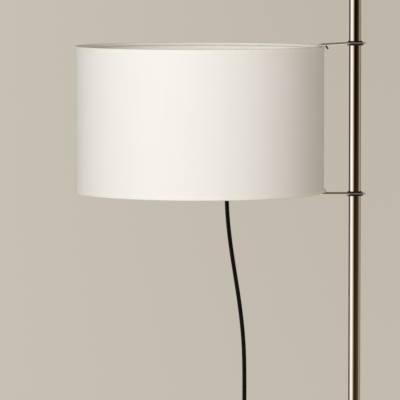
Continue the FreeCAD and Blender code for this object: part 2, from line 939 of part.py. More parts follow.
def bulb(tip):
    """A round bulb: a thin glass, a metal screw cap and its contact."""
    tip_level = holder_level + tip
    neck = size.bulb_neck / 2
    sphere = size.bulb_diameter / 2
    neck_round = sphere
    centre_z = size.bulb_length - sphere
    flare_x = neck + neck_round
    centres = sphere + neck_round
    flare_z = centre_z - root(centres * centres - flare_x * flare_x)
    glass_foot = size.button_tip + size.screw_height

    def waist(radius):
        """Where the sphere, drawn at this radius, meets the flare of the neck."""
        share = radius / centres
        return flare_x * share, centre_z + (flare_z - centre_z) * share

    outer_x, outer_z = waist(sphere)
    inner_x, inner_z = waist(sphere - size.bulb_wall)
    glass = turned("bulb_glass", (
        (neck - size.bulb_wall, glass_foot),
        (neck, glass_foot),
        (neck, flare_z, -neck_round),
        (outer_x, outer_z, sphere),
        (0, size.bulb_length),
        (0, size.bulb_length - size.bulb_wall, -(sphere - size.bulb_wall)),
        (inner_x, inner_z, neck_round + size.bulb_wall),
        (neck - size.bulb_wall, flare_z),
    ))
    place(glass, shade_x, up=tip_level)

    cap_radius = neck + size.seat_gap
    contact = size.bulb_contact / 2
    cap_inner = cap_radius - size.bulb_wall
    screw = turned("bulb_cap", (
        (0, size.button_tip),
        (contact, size.button_tip),
        (cap_radius, size.button_tip + size.screw_taper),
        (cap_radius, glass_foot),
        (cap_inner, glass_foot),
        (cap_inner, size.button_tip + size.bulb_wall + size.screw_taper),
        (contact, size.button_tip + size.bulb_wall),
        (0, size.button_tip + size.bulb_wall),
    ))
    place(screw, shade_x, up=tip_level)
    button = turned("bulb_contact", (
        (0, 0),
        (contact / 2, 0),
        (contact, size.button_tip),
        (0, size.button_tip),
    ))
    place(button, shade_x, up=tip_level)


def cord_guide():
    """A moulded bar that snaps onto both legs of the lower arm and steers the cord down."""
    half_length = leg_offset + wire_radius + size.guide_end
    half_height = size.guide_height / 2
    hole = wire_radius + size.seat_gap
    slot = size.guide_slot / 2
    throat = -root(hole * hole - slot * slot)
    corners = [(-half_length, -half_height)]
    for leg in (-leg_offset, leg_offset):
        corners += [
            (leg - slot, -half_height),
            (leg - slot, throat, -hole),
            (leg - hole, 0, -hole),
            (leg, hole, -hole),
            (leg + hole, 0, -hole),
            (leg + slot, throat),
            (leg + slot, -half_height),
        ]
    corners += [
        (half_length, -half_height),
        (half_length, half_height),
        (-half_length, half_height),
    ]
    guide = padded("cord_guide", "YZ_Plane", corners, size.guide_length, symmetric=True)
    drill(guide, "guide_hole", "XY_Plane", ((0, 0, cord_radius + size.cord_gap),))
    place(guide, size.cord_guide_x, up=lower_seat_level)


def ribbed_relief(label, seat, heading):
    """A tapered cord relief with a row of grooves, from its seat along its heading."""
    length = size.relief_length
    start = size.relief_diameter / 2
    taper = (size.relief_diameter - size.relief_end) / 2
    smooth = size.outlet_depth + size.switch_wall
    pitch = (length - smooth) / RELIEF_RIBS
    groove_share = 0.4
    corners = [(0, 0), (start, 0), (start, smooth)]
    for rib in range(RELIEF_RIBS):
        here = smooth + pitch * rib
        radius = start - taper * ((rib + 1) / RELIEF_RIBS)
        groove_end = here + pitch * groove_share
        corners.append((radius - size.relief_groove / 2, here))
        corners.append((radius - size.relief_groove / 2, groove_end))
        corners.append((radius, groove_end))
        corners.append((radius, here + pitch))
    corners.append((0, length))
    relief = turned(label, corners)
    relief.Placement = Placement(seat, Rotation(Vector(0, 0, 1), heading))
    return seat + heading * float(length)


def foot_switch():
    """A round push switch in the cord: base, domed cover, contact block and button.
    Returns where the cord meets it on each side, and the heading of its outlets."""
    outer = size.switch_diameter / 2
    base_top = size.switch_base_height
    turn = Rotation(Vector(0, 0, 1), float(size.switch_heading))
    stand = Placement(Vector(size.switch_x, size.switch_y, 0), turn)

    base = turned("switch_base", (
        (0, 0),
        (outer - size.switch_base_edge, 0),
        (outer, size.switch_base_edge),
        (outer, base_top),
        (0, base_top),
    ))
    base.Placement = stand

    wall = size.switch_wall
    round_centre = size.switch_height - size.switch_round
    inner_round = size.switch_round - wall
    ceiling = size.switch_height - wall
    press_radius = size.press_diameter / 2
    well = press_radius + size.press_gap
    flat = outer - size.switch_round
    cover = turned("switch_cover", (
        (outer - wall, base_top),
        (outer, base_top),
        (outer, round_centre, size.switch_round),
        (flat, size.switch_height),
        (well, size.switch_height),
        (well, ceiling),
        (flat, ceiling, -inner_round),
        (outer - wall, round_centre),
    ))
    outlet_radius = size.relief_diameter / 2 + size.seat_gap
    drill(cover, "switch_outlets", "YZ_Plane", ((0, size.outlet_height, outlet_radius),))
    cover.Placement = stand

    core_top = base_top + size.switch_core_height
    core = turned("switch_core", (
        (0, base_top),
        (size.switch_core_diameter / 2, base_top),
        (size.switch_core_diameter / 2, core_top),
        (0, core_top),
    ))
    core.Placement = stand

    flange_top = ceiling - size.press_gap
    flange_foot = flange_top - size.press_flange
    press_top = size.switch_height + size.press_rise
    dome_edge = press_top - size.press_dome
    dome = (press_radius * press_radius + size.press_dome * size.press_dome) / (size.press_dome * 2)
    press = turned("switch_button", (
        (0, flange_foot),
        (press_radius + size.press_flange, flange_foot),
        (press_radius + size.press_flange, flange_top),
        (press_radius, flange_top),
        (press_radius, dome_edge, dome),
        (0, press_top),
    ))
    press.Placement = stand

    exits = []
    for label, side in (("switch_relief_in", -1), ("switch_relief_out", 1)):
        heading = turn.multVec(Vector(side, 0, 0))
        inside = float(outer - size.outlet_depth)
        seat = stand.multVec(Vector(side * inside, 0, float(size.outlet_height)))
        exits.append(ribbed_relief(label, seat, heading))
    return exits[0], exits[1], turn.multVec(Vector(1, 0, 0))


def mains_plug():
    """A round moulded plug lying on the floor, with two pins. Returns where the cord meets it."""
    radius = size.plug_diameter / 2
    along = Vector(1, 0, 0)
    rear = Vector(size.plug_x, size.plug_y, radius)
    front_start = size.plug_length - size.plug_front
    body = turned("plug_body", (
        (0, 0),
        (size.plug_rear / 2, 0, -size.plug_waist),
        (radius, front_start),
        (radius, size.plug_length - size.plug_edge, size.plug_edge),
        (radius - size.plug_edge, size.plug_length),
        (0, size.plug_length),
    ))
    body.Placement = Placement(rear, Rotation(Vector(0, 0, 1), along))

    pin_radius = float(size.pin_diameter) / 2
    nose = float(size.pin_nose)
    pins = []
    for side in (-1, 1):
        foot = rear + Vector(size.plug_length, 0, 0) + Vector(0, side * float(size.pin_spacing) / 2, 0)
        shaft_length = float(size.pin_length) - nose
        pins.append(Part.makeCylinder(pin_radius, shaft_length, foot, along))
        cone = Part.makeCone(pin_radius, pin_radius / 2, nose, foot + along * shaft_length, along)
        pins[-1] = pins[-1].fuse(cone)
    shaped("plug_pins", Part.makeCompound(pins))
    return ribbed_relief("plug_relief", rear, -along)


def coil_path(entry_stub):
    """Clockwise half turns, each tangent to the last: in one layer their radius shrinks at a
    steady rate, one half turn climbs to the upper layer, and there the radius grows again."""
    half_step = float(size.coil_step) / 2
    climb_turn = COIL_HALF_TURNS_IN
    count = COIL_HALF_TURNS_IN + 1 + COIL_HALF_TURNS_OUT
    centre_x = float(size.coil_x)
    here = Vector(centre_x, float(size.coil_y + size.coil_radius), float(cord_level))
    points = [here - Vector(entry_stub, 0, 0)]
    radii = []
    for half_turn in range(count):
        radius = float(size.coil_radius) - half_step * (climb_turn - abs(half_turn - climb_turn))
        side = 1 if half_turn % 2 == 0 else -1
        climb = float(size.coil_layer) if half_turn == climb_turn else 0.0
        there = here + Vector(0, -side * 2 * radius, climb)
        reach = here.distanceToPoint(there) / 2
        points.append(here + Vector(side * reach, 0, 0))
        points.append(there + Vector(side * reach, 0, 0))
        radii += [reach, reach]
        here = there
    points.append(here + Vector(entry_stub, 0, 0))
    return points, radii


def cord(label, points, radii):
    shaped(label, swept_tube(label, rounded_path(points, radii), float(size.cord_diameter)))


def cords(switch_in, switch_out, heading, plug_entry):
    """The cord in its stretches: holder to guide, the hanging drop, floor, link, coil and tail."""
    lead = [Vector(x, 0, z) for x, z in LEAD_ROUTE]
    drop = [Vector(x, 0, z) for x, z in DROP_ROUTE]
    floor = [Vector(*point) for point in FLOOR_ROUTE]
    floor += [switch_in - heading * SWITCH_RUN, switch_in]
    route = lead + drop + floor
    radii = route_radii(route)
    guide_cut = (lead[-1] + drop[0]) / 2
    floor_cut = (drop[-1] + floor[0]) / 2
    after_lead = len(lead) - 1
    after_drop = after_lead + len(drop)
    cord("cord_lead", lead + [guide_cut], radii[:after_lead])
    cord("cord_drop", [guide_cut] + drop + [floor_cut], radii[after_lead:after_drop])
    cord("cord_floor", [floor_cut] + floor, radii[after_drop:])

    stub = float(size.cord_diameter)
    coil_points, coil_radii = coil_path(stub)
    coil_entry = coil_points[0]
    link = [switch_out, switch_out + heading * SWITCH_EXIT_RUN]
    link += [Vector(*point) for point in LINK_ROUTE]
    link += [coil_entry - Vector(COIL_ENTRY_RUN, 0, 0), coil_entry]
    link_radii = route_radii(link)
    cord("cord_link", link, link_radii)
    cord("cord_coil", coil_points, coil_radii)

    coil_exit = coil_points[-1]
    tail = [
        coil_exit,
        coil_exit + Vector(TAIL_RUN, 0, 0),
        plug_entry - Vector(TAIL_RUN, 0, 0),
        plug_entry,
    ]
    tail_radii = route_radii(tail)
    cord("cord_tail", tail, tail_radii)

    for name, values in (("hanging", radii), ("link", link_radii), ("tail", tail_radii)):
        print(f"{name} cord radii:", " ".join(f"{value:.0f}" for value in values))
    gap = least_gap(rounded_path(coil_points, coil_radii), float(size.cord_diameter))
    print(f"coil: least gap to itself {gap:.2f} mm")


def check_document():
    """Stop before anything is written if an object failed or a piece is not a sound solid."""
    doc.recompute()
    for item in doc.Objects:
        if "Invalid" in item.State or "Error" in item.State:
            raise RuntimeError(f"{item.Label} failed: {item.State}")
    for piece in pieces:
        if piece.Shape.isNull() or not piece.Shape.isValid() or not piece.Shape.Solids:
            raise RuntimeError(f"{piece.Label} is not a valid solid")


def write_pieces():
    os.makedirs("parts", exist_ok=True)
    for piece in pieces:
        piece.Shape.exportStep(os.path.join("parts", f"{piece.Label}.step"))
    print(f"{len(pieces)} pieces written")


weighted_foot()
column()
arms()
shade()
holder_carrier()
bulb(lampholder())
cord_guide()
cords(*foot_switch(), mains_plug())
check_document()
write_pieces()
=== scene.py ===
import json
import math
from contextlib import contextmanager

import bpy
from bpy.props import FloatProperty, FloatVectorProperty, IntProperty, PointerProperty
from mathutils import Color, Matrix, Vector, noise


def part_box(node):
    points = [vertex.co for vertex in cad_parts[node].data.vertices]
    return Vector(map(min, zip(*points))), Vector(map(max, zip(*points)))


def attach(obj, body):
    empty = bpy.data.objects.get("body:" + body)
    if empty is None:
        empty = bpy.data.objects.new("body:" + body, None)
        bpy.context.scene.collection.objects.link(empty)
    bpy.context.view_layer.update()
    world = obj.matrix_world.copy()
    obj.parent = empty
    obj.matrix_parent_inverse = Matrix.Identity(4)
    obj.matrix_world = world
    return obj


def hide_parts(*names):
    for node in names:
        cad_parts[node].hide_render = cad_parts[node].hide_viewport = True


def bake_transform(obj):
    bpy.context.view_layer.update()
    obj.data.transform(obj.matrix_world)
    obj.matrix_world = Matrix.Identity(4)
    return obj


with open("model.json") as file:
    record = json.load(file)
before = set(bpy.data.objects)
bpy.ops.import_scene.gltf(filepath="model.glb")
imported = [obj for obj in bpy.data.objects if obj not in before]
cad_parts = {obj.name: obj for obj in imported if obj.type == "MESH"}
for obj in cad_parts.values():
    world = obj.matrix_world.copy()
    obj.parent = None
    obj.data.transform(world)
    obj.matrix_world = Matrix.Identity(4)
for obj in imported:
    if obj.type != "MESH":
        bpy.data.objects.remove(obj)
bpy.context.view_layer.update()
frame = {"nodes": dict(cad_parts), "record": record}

bl_info = {
    "name": "Column floor lamp",
    "version": (1, 0, 0),
    "blender": (4, 5, 0),
    "location": "3D View > Sidebar > Floor lamp",
    "description": "Dresses the column floor lamp: shade, cord, metal, moulded parts and studio",
    "category": "Object",
}

MM = 0.001

# The cord's route in millimetres, the same control points as in the part's source.
LEAD_ROUTE = (
    (-258.5, 1304.5), (-258.5, 1294.0), (-255.8, 1283.9), (-250.5, 1274.8), (-243.1, 1267.3),
    (-228.7, 1259.0), (-221.3, 1251.6), (-216.0, 1242.5), (-213.3, 1232.4),
)
DROP_ROUTE = (
    (-213.3, 1211.0), (-212.2, 1188.0), (-209.7, 1160.0), (-205.5, 1127.0), (-199.1, 1086.0),
    (-193.1, 1048.0), (-187.8, 1006.0), (-184.6, 966.0), (-183.6, 922.0), (-183.7, 862.0),
    (-184.3, 785.0), (-185.5, 703.0), (-187.1, 615.0), (-189.2, 525.0), (-191.6, 435.0),
    (-194.5, 345.0), (-198.0, 260.0), (-202.3, 182.0), (-207.5, 122.0),
)
FLOOR_ROUTE = (
    (-214.5, 0.0, 70.0), (-224.0, 0.0, 45.5), (-240.0, 0.0, 23.0), (-262.0, 0.0, 8.6),
    (-284.0, 0.5, 3.7), (-300.5, 5.0, 6.1),
)
LINK_ROUTE = (
    (-432.5, 126.0, 7.0), (-430.5, 148.0, 3.8), (-418.5, 166.5, 3.6), (-399.0, 177.5, 3.6),
    (-358.0, 179.2, 3.6),
)
SWITCH_ENTRY = Vector((-325.0, 24.0, 10.5))
SWITCH_EXIT = Vector((-407.8, 93.4, 10.5))
SWITCH_ALONG = (SWITCH_EXIT - SWITCH_ENTRY).normalized()
PLUG_ENTRY = Vector((-206.0, 165.5, 17.5))
SWITCH_RUN = 16.0
SWITCH_EXIT_RUN = 21.0
COIL_ENTRY_RUN = 36.0
TAIL_RUN = 21.0
SHEATH_INTO_RELIEF = 4.0
ALONG = Vector((1.0, 0.0, 0.0))
COIL_START = Vector((-275.0, 176.0, 3.55))
COIL_RADIUS = 49.0
COIL_STEP = 7.8
COIL_LAYER = 7.6
COIL_TURNS_IN = 5
COIL_TURNS_OUT = 4
COIL_POINTS = 9


def paint(red, green, blue):
    """A colour given as it looks on a screen, from 0 to 255, as Blender's linear colour."""
    return tuple(Color((red / 255, green / 255, blue / 255)).from_srgb_to_scene_linear())


# Settings that a user would change

COLOUR = {"subtype": "COLOR", "min": 0, "max": 1}


class LampShadeSettings(bpy.types.PropertyGroup):
    cloth: FloatVectorProperty(
        name="Cloth", description="Colour of the shade's cloth",
        default=(0.90, 0.885, 0.868), **COLOUR)
    tape: FloatVectorProperty(
        name="Tape", description="Colour of the binding tape on both rims",
        default=(0.945, 0.918, 0.862), **COLOUR)
    tape_inside: FloatProperty(
        name="Tape inside", description="How far the tape reaches down inside the shade",
        default=5.5 * MM, unit="LENGTH")
    cloth_thickness: FloatProperty(
        name="Cloth thickness", description="Cloth and its stiff backing together",
        default=0.9 * MM, unit="LENGTH")
    seam_overlap: FloatProperty(
        name="Seam overlap", description="How far the cloth laps over itself at the back",
        default=12 * MM, unit="LENGTH")
    thread: FloatProperty(
        name="Thread", description="Distance between two threads of the weave",
        default=0.42 * MM, unit="LENGTH")


class LampCordSettings(bpy.types.PropertyGroup):
    diameter: FloatProperty(
        name="Diameter", description="Outside diameter of the cord's sheath",
        default=7 * MM, unit="LENGTH")
    sheath: FloatVectorProperty(
        name="Sheath", description="Colour of the cord's sheath",
        default=(0.0028, 0.0026, 0.0022), **COLOUR)
    sides: IntProperty(
        name="Sides", description="Faces round the cord", default=18, min=8, max=48)


class LampMetalSettings(bpy.types.PropertyGroup):
    chrome: FloatVectorProperty(
        name="Chrome", description="Colour of the polished plating",
        default=(0.91, 0.90, 0.885), **COLOUR)
    polish: FloatProperty(
        name="Polish", description="Roughness of the cleanest plating", default=0.03, min=0, max=1)
    brass: FloatVectorProperty(
        name="Brass", description="Colour of plain brass",
        default=(0.72, 0.52, 0.24), **COLOUR)


class LampMouldedSettings(bpy.types.PropertyGroup):
    plastic: FloatVectorProperty(
        name="Plastic", description="Colour of the switch, plug and lampholder",
        default=(0.017, 0.017, 0.018), **COLOUR)
    rubber: FloatVectorProperty(
        name="Rubber", description="Colour of the grips and the foot's ring",
        default=(0.0045, 0.004, 0.0035), **COLOUR)
    ceramic: FloatVectorProperty(
        name="Ceramic", description="Colour of the lampholder's core",
        default=(0.80, 0.78, 0.73), **COLOUR)
    opal: FloatVectorProperty(
        name="Opal", description="Colour of the bulb's glass",
        default=(0.90, 0.90, 0.88), **COLOUR)


class LampStudioSettings(bpy.types.PropertyGroup):
    distance: FloatProperty(
        name="Distance", description="From the camera to the shade", default=6.4, unit="LENGTH")
    picture_width: FloatProperty(
        name="Picture width", description="What the picture spans at the shade",
        default=0.6667, unit="LENGTH")
    picture_centre_height: FloatProperty(
        name="Picture centre", description="Height above the floor of the picture's middle",
        default=1.2122, unit="LENGTH")
    picture_offset: FloatProperty(
        name="Picture offset", description="From the shade's middle to the picture's middle",
        default=0.6 * MM, unit="LENGTH")
    look_down: FloatProperty(
        name="Look down", description="How far the camera looks down", subtype="ANGLE",
        default=math.radians(4.0))
    key: FloatProperty(
        name="Key light", description="Power of the soft light in front", default=128.0, min=0)
    key_colour: FloatVectorProperty(
        name="Key colour", description="Colour of the soft light in front",
        default=(0.985, 0.995, 1.0), **COLOUR)
    key_turn: FloatProperty(
        name="Key turn", description="Turn of the light from the camera's side, positive to the right",
        subtype="ANGLE", default=math.radians(-25))
    key_rise: FloatProperty(
        name="Key rise", description="How far the light stands above the shade's middle",
        subtype="ANGLE", default=math.radians(13))
    key_distance: FloatProperty(
        name="Key distance", description="From the light to the shade's middle", default=4.2,
        unit="LENGTH")
    key_side: FloatProperty(
        name="Key side", description="Side of the square light", default=2.2, unit="LENGTH")
    fill_left: FloatVectorProperty(
        name="Fill left", description="Light that the room gives from the left", subtype="COLOR",
        default=(0.28, 0.264, 0.24), min=0, max=4)
    fill_right: FloatVectorProperty(
        name="Fill right", description="Light that the room gives from the right", subtype="COLOR",
        default=(0.64, 0.605, 0.53), min=0, max=4)
    wall_left: FloatVectorProperty(
        name="Wall left", description="Backdrop colour on the left",
        default=paint(200, 192, 181), **COLOUR)
    wall_right: FloatVectorProperty(
        name="Wall right", description="Backdrop colour on the right",
        default=paint(190, 183, 170), **COLOUR)
    wall_low: FloatVectorProperty(
        name="Wall low", description="Backdrop colour low on the right",
        default=paint(194, 187, 174), **COLOUR)


# Shaping, as by hand

SAME_POINT = 0.001 * MM


def select_only(piece=None):
    """Leave nothing selected, or just one piece, in object mode."""
    if bpy.context.object and bpy.context.object.mode != "OBJECT":
        bpy.ops.object.mode_set(mode="OBJECT")
    bpy.ops.object.select_all(action="DESELECT")
    if piece:
        piece.select_set(True)
        bpy.context.view_layer.objects.active = piece


def added(name):
    """The primitive that was just added, under its name."""
    piece = bpy.context.object
    piece.name = piece.data.name = name
    return piece


@contextmanager
def whole_mesh():
    """Edit mode with the whole mesh selected, and object mode again afterwards."""
    bpy.ops.object.mode_set(mode="EDIT")
    bpy.ops.mesh.select_all(action="SELECT")
    yield
    bpy.ops.object.mode_set(mode="OBJECT")


def draw_profile(name, points):
    """A line through points given as (radius, height), drawn by extruding one vertex."""
    places = [Vector((radius, 0.0, height)) for radius, height in points]
    select_only()
    bpy.ops.mesh.primitive_plane_add(size=0.01)
    piece = added(name)
    with whole_mesh():
        bpy.ops.mesh.merge(type="CENTER")
        bpy.ops.transform.translate(value=places[0])
        for here, there in zip(places, places[1:]):
            bpy.ops.mesh.extrude_region_move(TRANSFORM_OT_translate={"value": there - here})
        bpy.ops.mesh.select_all(action="SELECT")
        bpy.ops.mesh.remove_doubles(threshold=SAME_POINT)
    return piece


def apply_modifier(piece, kind, **settings):
    """Add a modifier, set it and apply it."""
    select_only(piece)
    modifier = piece.modifiers.new(kind.lower(), kind)
    for name, value in settings.items():
        setattr(modifier, name, value)
    bpy.ops.object.modifier_apply(modifier=modifier.name)


def face_outwards(piece):
    """Merge doubled points and point the faces outwards."""
    select_only(piece)
    with whole_mesh():
        bpy.ops.mesh.remove_doubles(threshold=SAME_POINT)
        bpy.ops.mesh.normals_make_consistent(inside=False)


def settle(piece, smooth_below=40.0):
    """Put the piece's place into its mesh and smooth its rounded faces."""
    select_only(piece)
    bpy.ops.object.transform_apply(location=True, rotation=True, scale=True)
    bpy.ops.object.shade_smooth_by_angle(angle=math.radians(smooth_below))


def break_edges(piece, width, segments, sharper_than):
    """Round off the edges that are sharper than an angle in degrees."""
    apply_modifier(piece, "BEVEL", width=width, segments=segments, limit_method="ANGLE",
                   angle_limit=math.radians(sharper_than))


def revolve(piece, sides):
    """Turn a profile about the upright axis through its piece's place."""
    apply_modifier(piece, "SCREW", steps=sides, render_steps=sides, use_merge_vertices=True)
    face_outwards(piece)


def rod(name, start, finish, radius, rounding):
    """A round rod between two points, with its ends rounded off."""
    select_only()
    along = finish - start
    bpy.ops.mesh.primitive_cylinder_add(
        vertices=24, radius=radius, depth=along.length, location=(start + finish) / 2,
        rotation=along.to_track_quat("Z", "Y").to_euler())
    piece = added(name)
    break_edges(piece, rounding, 4, sharper_than=60)
    settle(piece)
    return piece


def block(name, size, place, edge):
    """A rectangular block with bevelled edges."""
    select_only()
    bpy.ops.mesh.primitive_cube_add(size=1, location=place, scale=size)
    piece = added(name)
    bpy.ops.object.transform_apply(location=False, rotation=False, scale=True)
    apply_modifier(piece, "BEVEL", width=edge, segments=3, limit_method="NONE")
    settle(piece)
    return piece


def repeated(name, piece, places):
    """One piece made of copies of another, each placed by (turn about X, centre, shift)."""
    copies = []
    for turn, centre, shift in places:
        select_only(piece)
        bpy.ops.object.duplicate()
        copies.append(bpy.context.object)
        with whole_mesh():
            if turn:
                bpy.ops.transform.rotate(value=turn, orient_axis="X", center_override=centre)
            bpy.ops.transform.translate(value=shift)
    bpy.data.objects.remove(piece, do_unlink=True)
    select_only(copies[0])
    for copy in copies:
        copy.select_set(True)
    bpy.ops.object.join()
    return added(name)


# The column's polish shows the room and the grips, as in the photograph. Pieces whose
# names start like this are left out of it.
UNMIRRORED = (
    "shade", "tape", "rim", "arm", "prong", "hook", "holder", "carrier", "gland", "bulb", "cord",
)


def finish_piece(piece, body, slot, replaced=(), finish=None):
    """Give a new piece its finish, and hang it on its body in the place of CAD nodes."""
    piece.visible_glossy = not piece.name.startswith(UNMIRRORED)
    if not piece.data.materials:
        piece.data.materials.append(finish or FINISHES[slot]())
    if replaced:
        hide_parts(*replaced)
    if body:
        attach(piece, body)


def dress(*names, finish=None):
    """Give CAD nodes the finish of their own material slot, or a finish of their own."""
    slots = {part["node"]: part["material_slot"] for part in frame["record"]["subparts"]}
    for name in names:
        node = frame["nodes"][name]
        node.visible_glossy = not name.startswith(UNMIRRORED)
        node.data.materials.clear()
        node.data.materials.append(finish or FINISHES[slots[name]]())


# Finishes

class Nodes:
    """A node tree that is built up node by node."""

    def __init__(self, tree):
        self.tree = tree

    def node(self, kind, settings=None, **inputs):
        """Add a node with its settings, and give its inputs a value or a link."""
        made = self.tree.nodes.new(f"ShaderNode{kind}")
        for name, value in (settings or {}).items():
            setattr(made, name, value)
        for socket, value in inputs.items():
            self.plug(made.inputs[socket.replace("_", " ")], value)
        return made

    def plug(self, socket, value):
        """Link a socket to another one, or set its value."""
        if isinstance(value, bpy.types.NodeSocket):
            self.tree.links.new(value, socket)
        else:
            socket.default_value = value

    def between(self, factor, low, high, start=0.3, end=0.7):
        """Spread a factor over a range of values."""
        made = self.node("MapRange", Value=factor, From_Min=start, From_Max=end)
        self.plug(made.inputs["To Min"], low)
        self.plug(made.inputs["To Max"], high)
        return made.outputs["Result"]

    def math(self, operation, first, second=0.0):
        made = self.node("Math", {"operation": operation})
        self.plug(made.inputs[0], first)
        self.plug(made.inputs[1], second)
        return made.outputs["Value"]

    def mix(self, factor, first, second):
        """Two colours, mixed by a factor."""
        made = self.node("Mix", {"data_type": "RGBA"}, Factor=factor)
        for socket, value in ((made.inputs[6], first), (made.inputs[7], second)):
            self.plug(socket, value if isinstance(value, bpy.types.NodeSocket) else (*value[:3], 1.0))
        return made.outputs[2]

    def reach(self, spot):
        """How far a spot lies from the origin."""
        made = self.node("VectorMath", {"operation": "LENGTH"})
        self.plug(made.inputs[0], spot)
        return made.outputs["Value"]


class Finish(Nodes):
    """A material with one Principled shader."""

    def __init__(self, name, **sockets):
        self.material = bpy.data.materials.new(name)
        self.material.use_nodes = True
        super().__init__(self.material.node_tree)
        self.shader = self.tree.nodes["Principled BSDF"]
        for socket, value in sockets.items():
            self.shader.inputs[socket.replace("_", " ")].default_value = value

    def set(self, socket, value):
        """Set or link one of the shader's own sockets."""
        self.plug(self.shader.inputs[socket], value)

    def spot(self, scale=(1, 1, 1), of="Object"):
        """The place on the piece, stretched, so that one pattern suits every direction."""
        place = self.node("TexCoord").outputs[of]
        return self.node("Mapping", Vector=place, Scale=scale).outputs["Vector"]

    def mottle(self, scale, detail=4.0, roughness=0.55, spot=None):
        """Soft irregular patches from 0 to 1, about so many in a metre."""
        made = self.node("TexNoise", Vector=spot or self.spot(), Scale=scale, Detail=detail,
                         Roughness=roughness)
        return made.outputs["Fac"]

    def patched(self, patches, first, second):
        """One colour with patches of another."""
        return self.mix(self.between(patches, 0.0, 1.0), first, second)

    def relief(self, *layers):
        """Bumps laid over each other, each (height, depth in metres, strength)."""
        normal = None
        for height, depth, strength in layers:
            made = self.node("Bump", Height=height, Distance=depth, Strength=strength)
            if normal:
                self.plug(made.inputs["Normal"], normal)
            normal = made.outputs["Normal"]
        self.set("Normal", normal)


def shaded(colour, share):
    """A colour made darker or lighter."""
    return tuple(part * share for part in colour[:3])


def kept(make):
    """Make a finish's material once and use it again on every piece that has it."""
    made = []

    def material():
        if not made:
            made.append(make().material)
        return made[0]

    return material


def plated(name):
    """Polished plating: faint polishing lines, a few smears and fine dust."""
    settings = bpy.context.scene.lamp_metal
    finish = Finish(name, Metallic=1.0)
    lines = finish.mottle(1.0, 3.0, spot=finish.spot((900, 900, 60)))
    smears = finish.mottle(38.0, 5.0, 0.6, spot=finish.spot((1, 1, 0.35)))
    dust = finish.mottle(900.0, 2.0)
    tint = finish.patched(smears, settings.chrome, shaded(settings.chrome, 0.93))
    smeared = finish.between(smears, settings.polish, settings.polish + 0.04, 0.35, 0.75)
    dusty = finish.between(dust, 0.0, 0.04, 0.62, 0.8)
    rough = finish.math("ADD", smeared, dusty)
    finish.set("Base Color", tint)
    finish.set("Roughness", rough)
    finish.relief((lines, 0.02 * MM, 0.25), (smears, 0.1 * MM, 0.04))
    return finish, tint, rough


@kept
def chrome_finish():
    """The plating of the column, the foot and the small metal parts."""
    return plated("polished_chrome")[0]


@kept
def arm_finish():
    """The arms' plating, painted black on the wire's underside where the grips hold it: rub marks from
    the rubber and a painted reflection of the black grip beneath.
    """
    darkened_to, undarkened_from = 16.6 * MM, 18.2 * MM
    finish, tint, rough = plated("arm_chrome")
    near = finish.between(finish.reach(finish.spot((1, 1, 0))), 1.0, 0.0, darkened_to, undarkened_from)
    facing = finish.node("SeparateXYZ", Vector=finish.node("TexCoord").outputs["Normal"])
    under = finish.between(facing.outputs["Z"], 1.0, 0.0, -0.25, 0.0)
    patchy = finish.between(finish.mottle(700.0, 3.0), 0.86, 1.0)
    # Rub marks and painted reflection: the wire's underside near the grips is painted the grips' black
    # rubber, for rubber rubbed onto it and for the dark grip it mirrors.
    rubbed_and_reflected = finish.math("MULTIPLY", finish.math("MULTIPLY", near, under), patchy)
    finish.set("Base Color", finish.mix(rubbed_and_reflected, tint, bpy.context.scene.lamp_moulded.rubber))
    finish.set("Metallic", finish.between(rubbed_and_reflected, 1.0, 0.0, 0.0, 1.0))
    finish.set("Specular IOR Level", finish.between(rubbed_and_reflected, 0.5, 0.1, 0.0, 1.0))
    finish.set("Roughness", finish.math("ADD", rough, finish.math("MULTIPLY", rubbed_and_reflected, 0.5)))
    return finish


@kept
def weld_finish():
    """A plated weld bead: the same metal, rippled and duller."""
    chrome = bpy.context.scene.lamp_metal.chrome
    finish = Finish("plated_weld", Metallic=1.0)
    ripples = finish.mottle(900.0)
    finish.set("Base Color", finish.mix(ripples, shaded(chrome, 0.6), shaded(chrome, 0.85)))
    finish.set("Roughness", finish.between(ripples, 0.16, 0.34))
    finish.relief((ripples, 0.4 * MM, 0.5))
    return finish


@kept
def cast_weight_finish():
    """A sand casting under black primer."""
    finish = Finish("primed_casting", Metallic=0.0, Specular_IOR_Level=0.35)
    grain = finish.mottle(700.0, 6.0, 0.65)
    patches = finish.mottle(26.0)
    finish.set("Base Color", finish.mix(patches, (0.022, 0.021, 0.020), (0.05, 0.044, 0.038)))
    finish.set("Roughness", finish.between(patches, 0.6, 0.85))
    finish.relief((patches, 1.2 * MM, 0.25), (grain, 0.5 * MM, 0.6))
    return finish


@kept
def rubber_finish():
    """Matt black rubber with a little bloom and dust on it."""
    colour = bpy.context.scene.lamp_moulded.rubber
    finish = Finish("black_rubber", Specular_IOR_Level=0.16)
    grain = finish.mottle(2600.0, 3.0)
    bloom = finish.mottle(130.0)
    finish.set("Base Color", finish.patched(bloom, colour, (0.010, 0.009, 0.008)))
    finish.set("Roughness", finish.between(bloom, 0.52, 0.74))
    finish.relief((grain, 0.1 * MM, 0.5))
    return finish


@kept
def zinc_finish():
    """Zinc plated steel: dull, with fine lines and a few darker patches."""
    finish = Finish("zinc_plate", Metallic=1.0)
    patches = finish.mottle(160.0, 5.0)
    lines = finish.mottle(1.0, 3.0, spot=finish.spot((300, 300, 2500)))
    finish.set("Base Color", finish.mix(patches, (0.46, 0.47, 0.48), (0.66, 0.66, 0.64)))
    finish.set("Roughness", finish.between(patches, 0.28, 0.46))
    finish.relief((lines, 0.04 * MM, 0.4))
    return finish


@kept
def white_steel_finish():
    """White powder coat on the rim wires, with its faint orange peel."""
    finish = Finish("white_powder_coat", Roughness=0.42, Coat_Weight=0.15, Coat_Roughness=0.3)
    peel = finish.mottle(900.0, 2.0)
    tone = finish.mottle(40.0, 3.0)
    finish.set("Base Color", finish.mix(tone, (0.82, 0.81, 0.77), (0.88, 0.87, 0.84)))
    finish.relief((peel, 0.15 * MM, 0.35))
    return finish


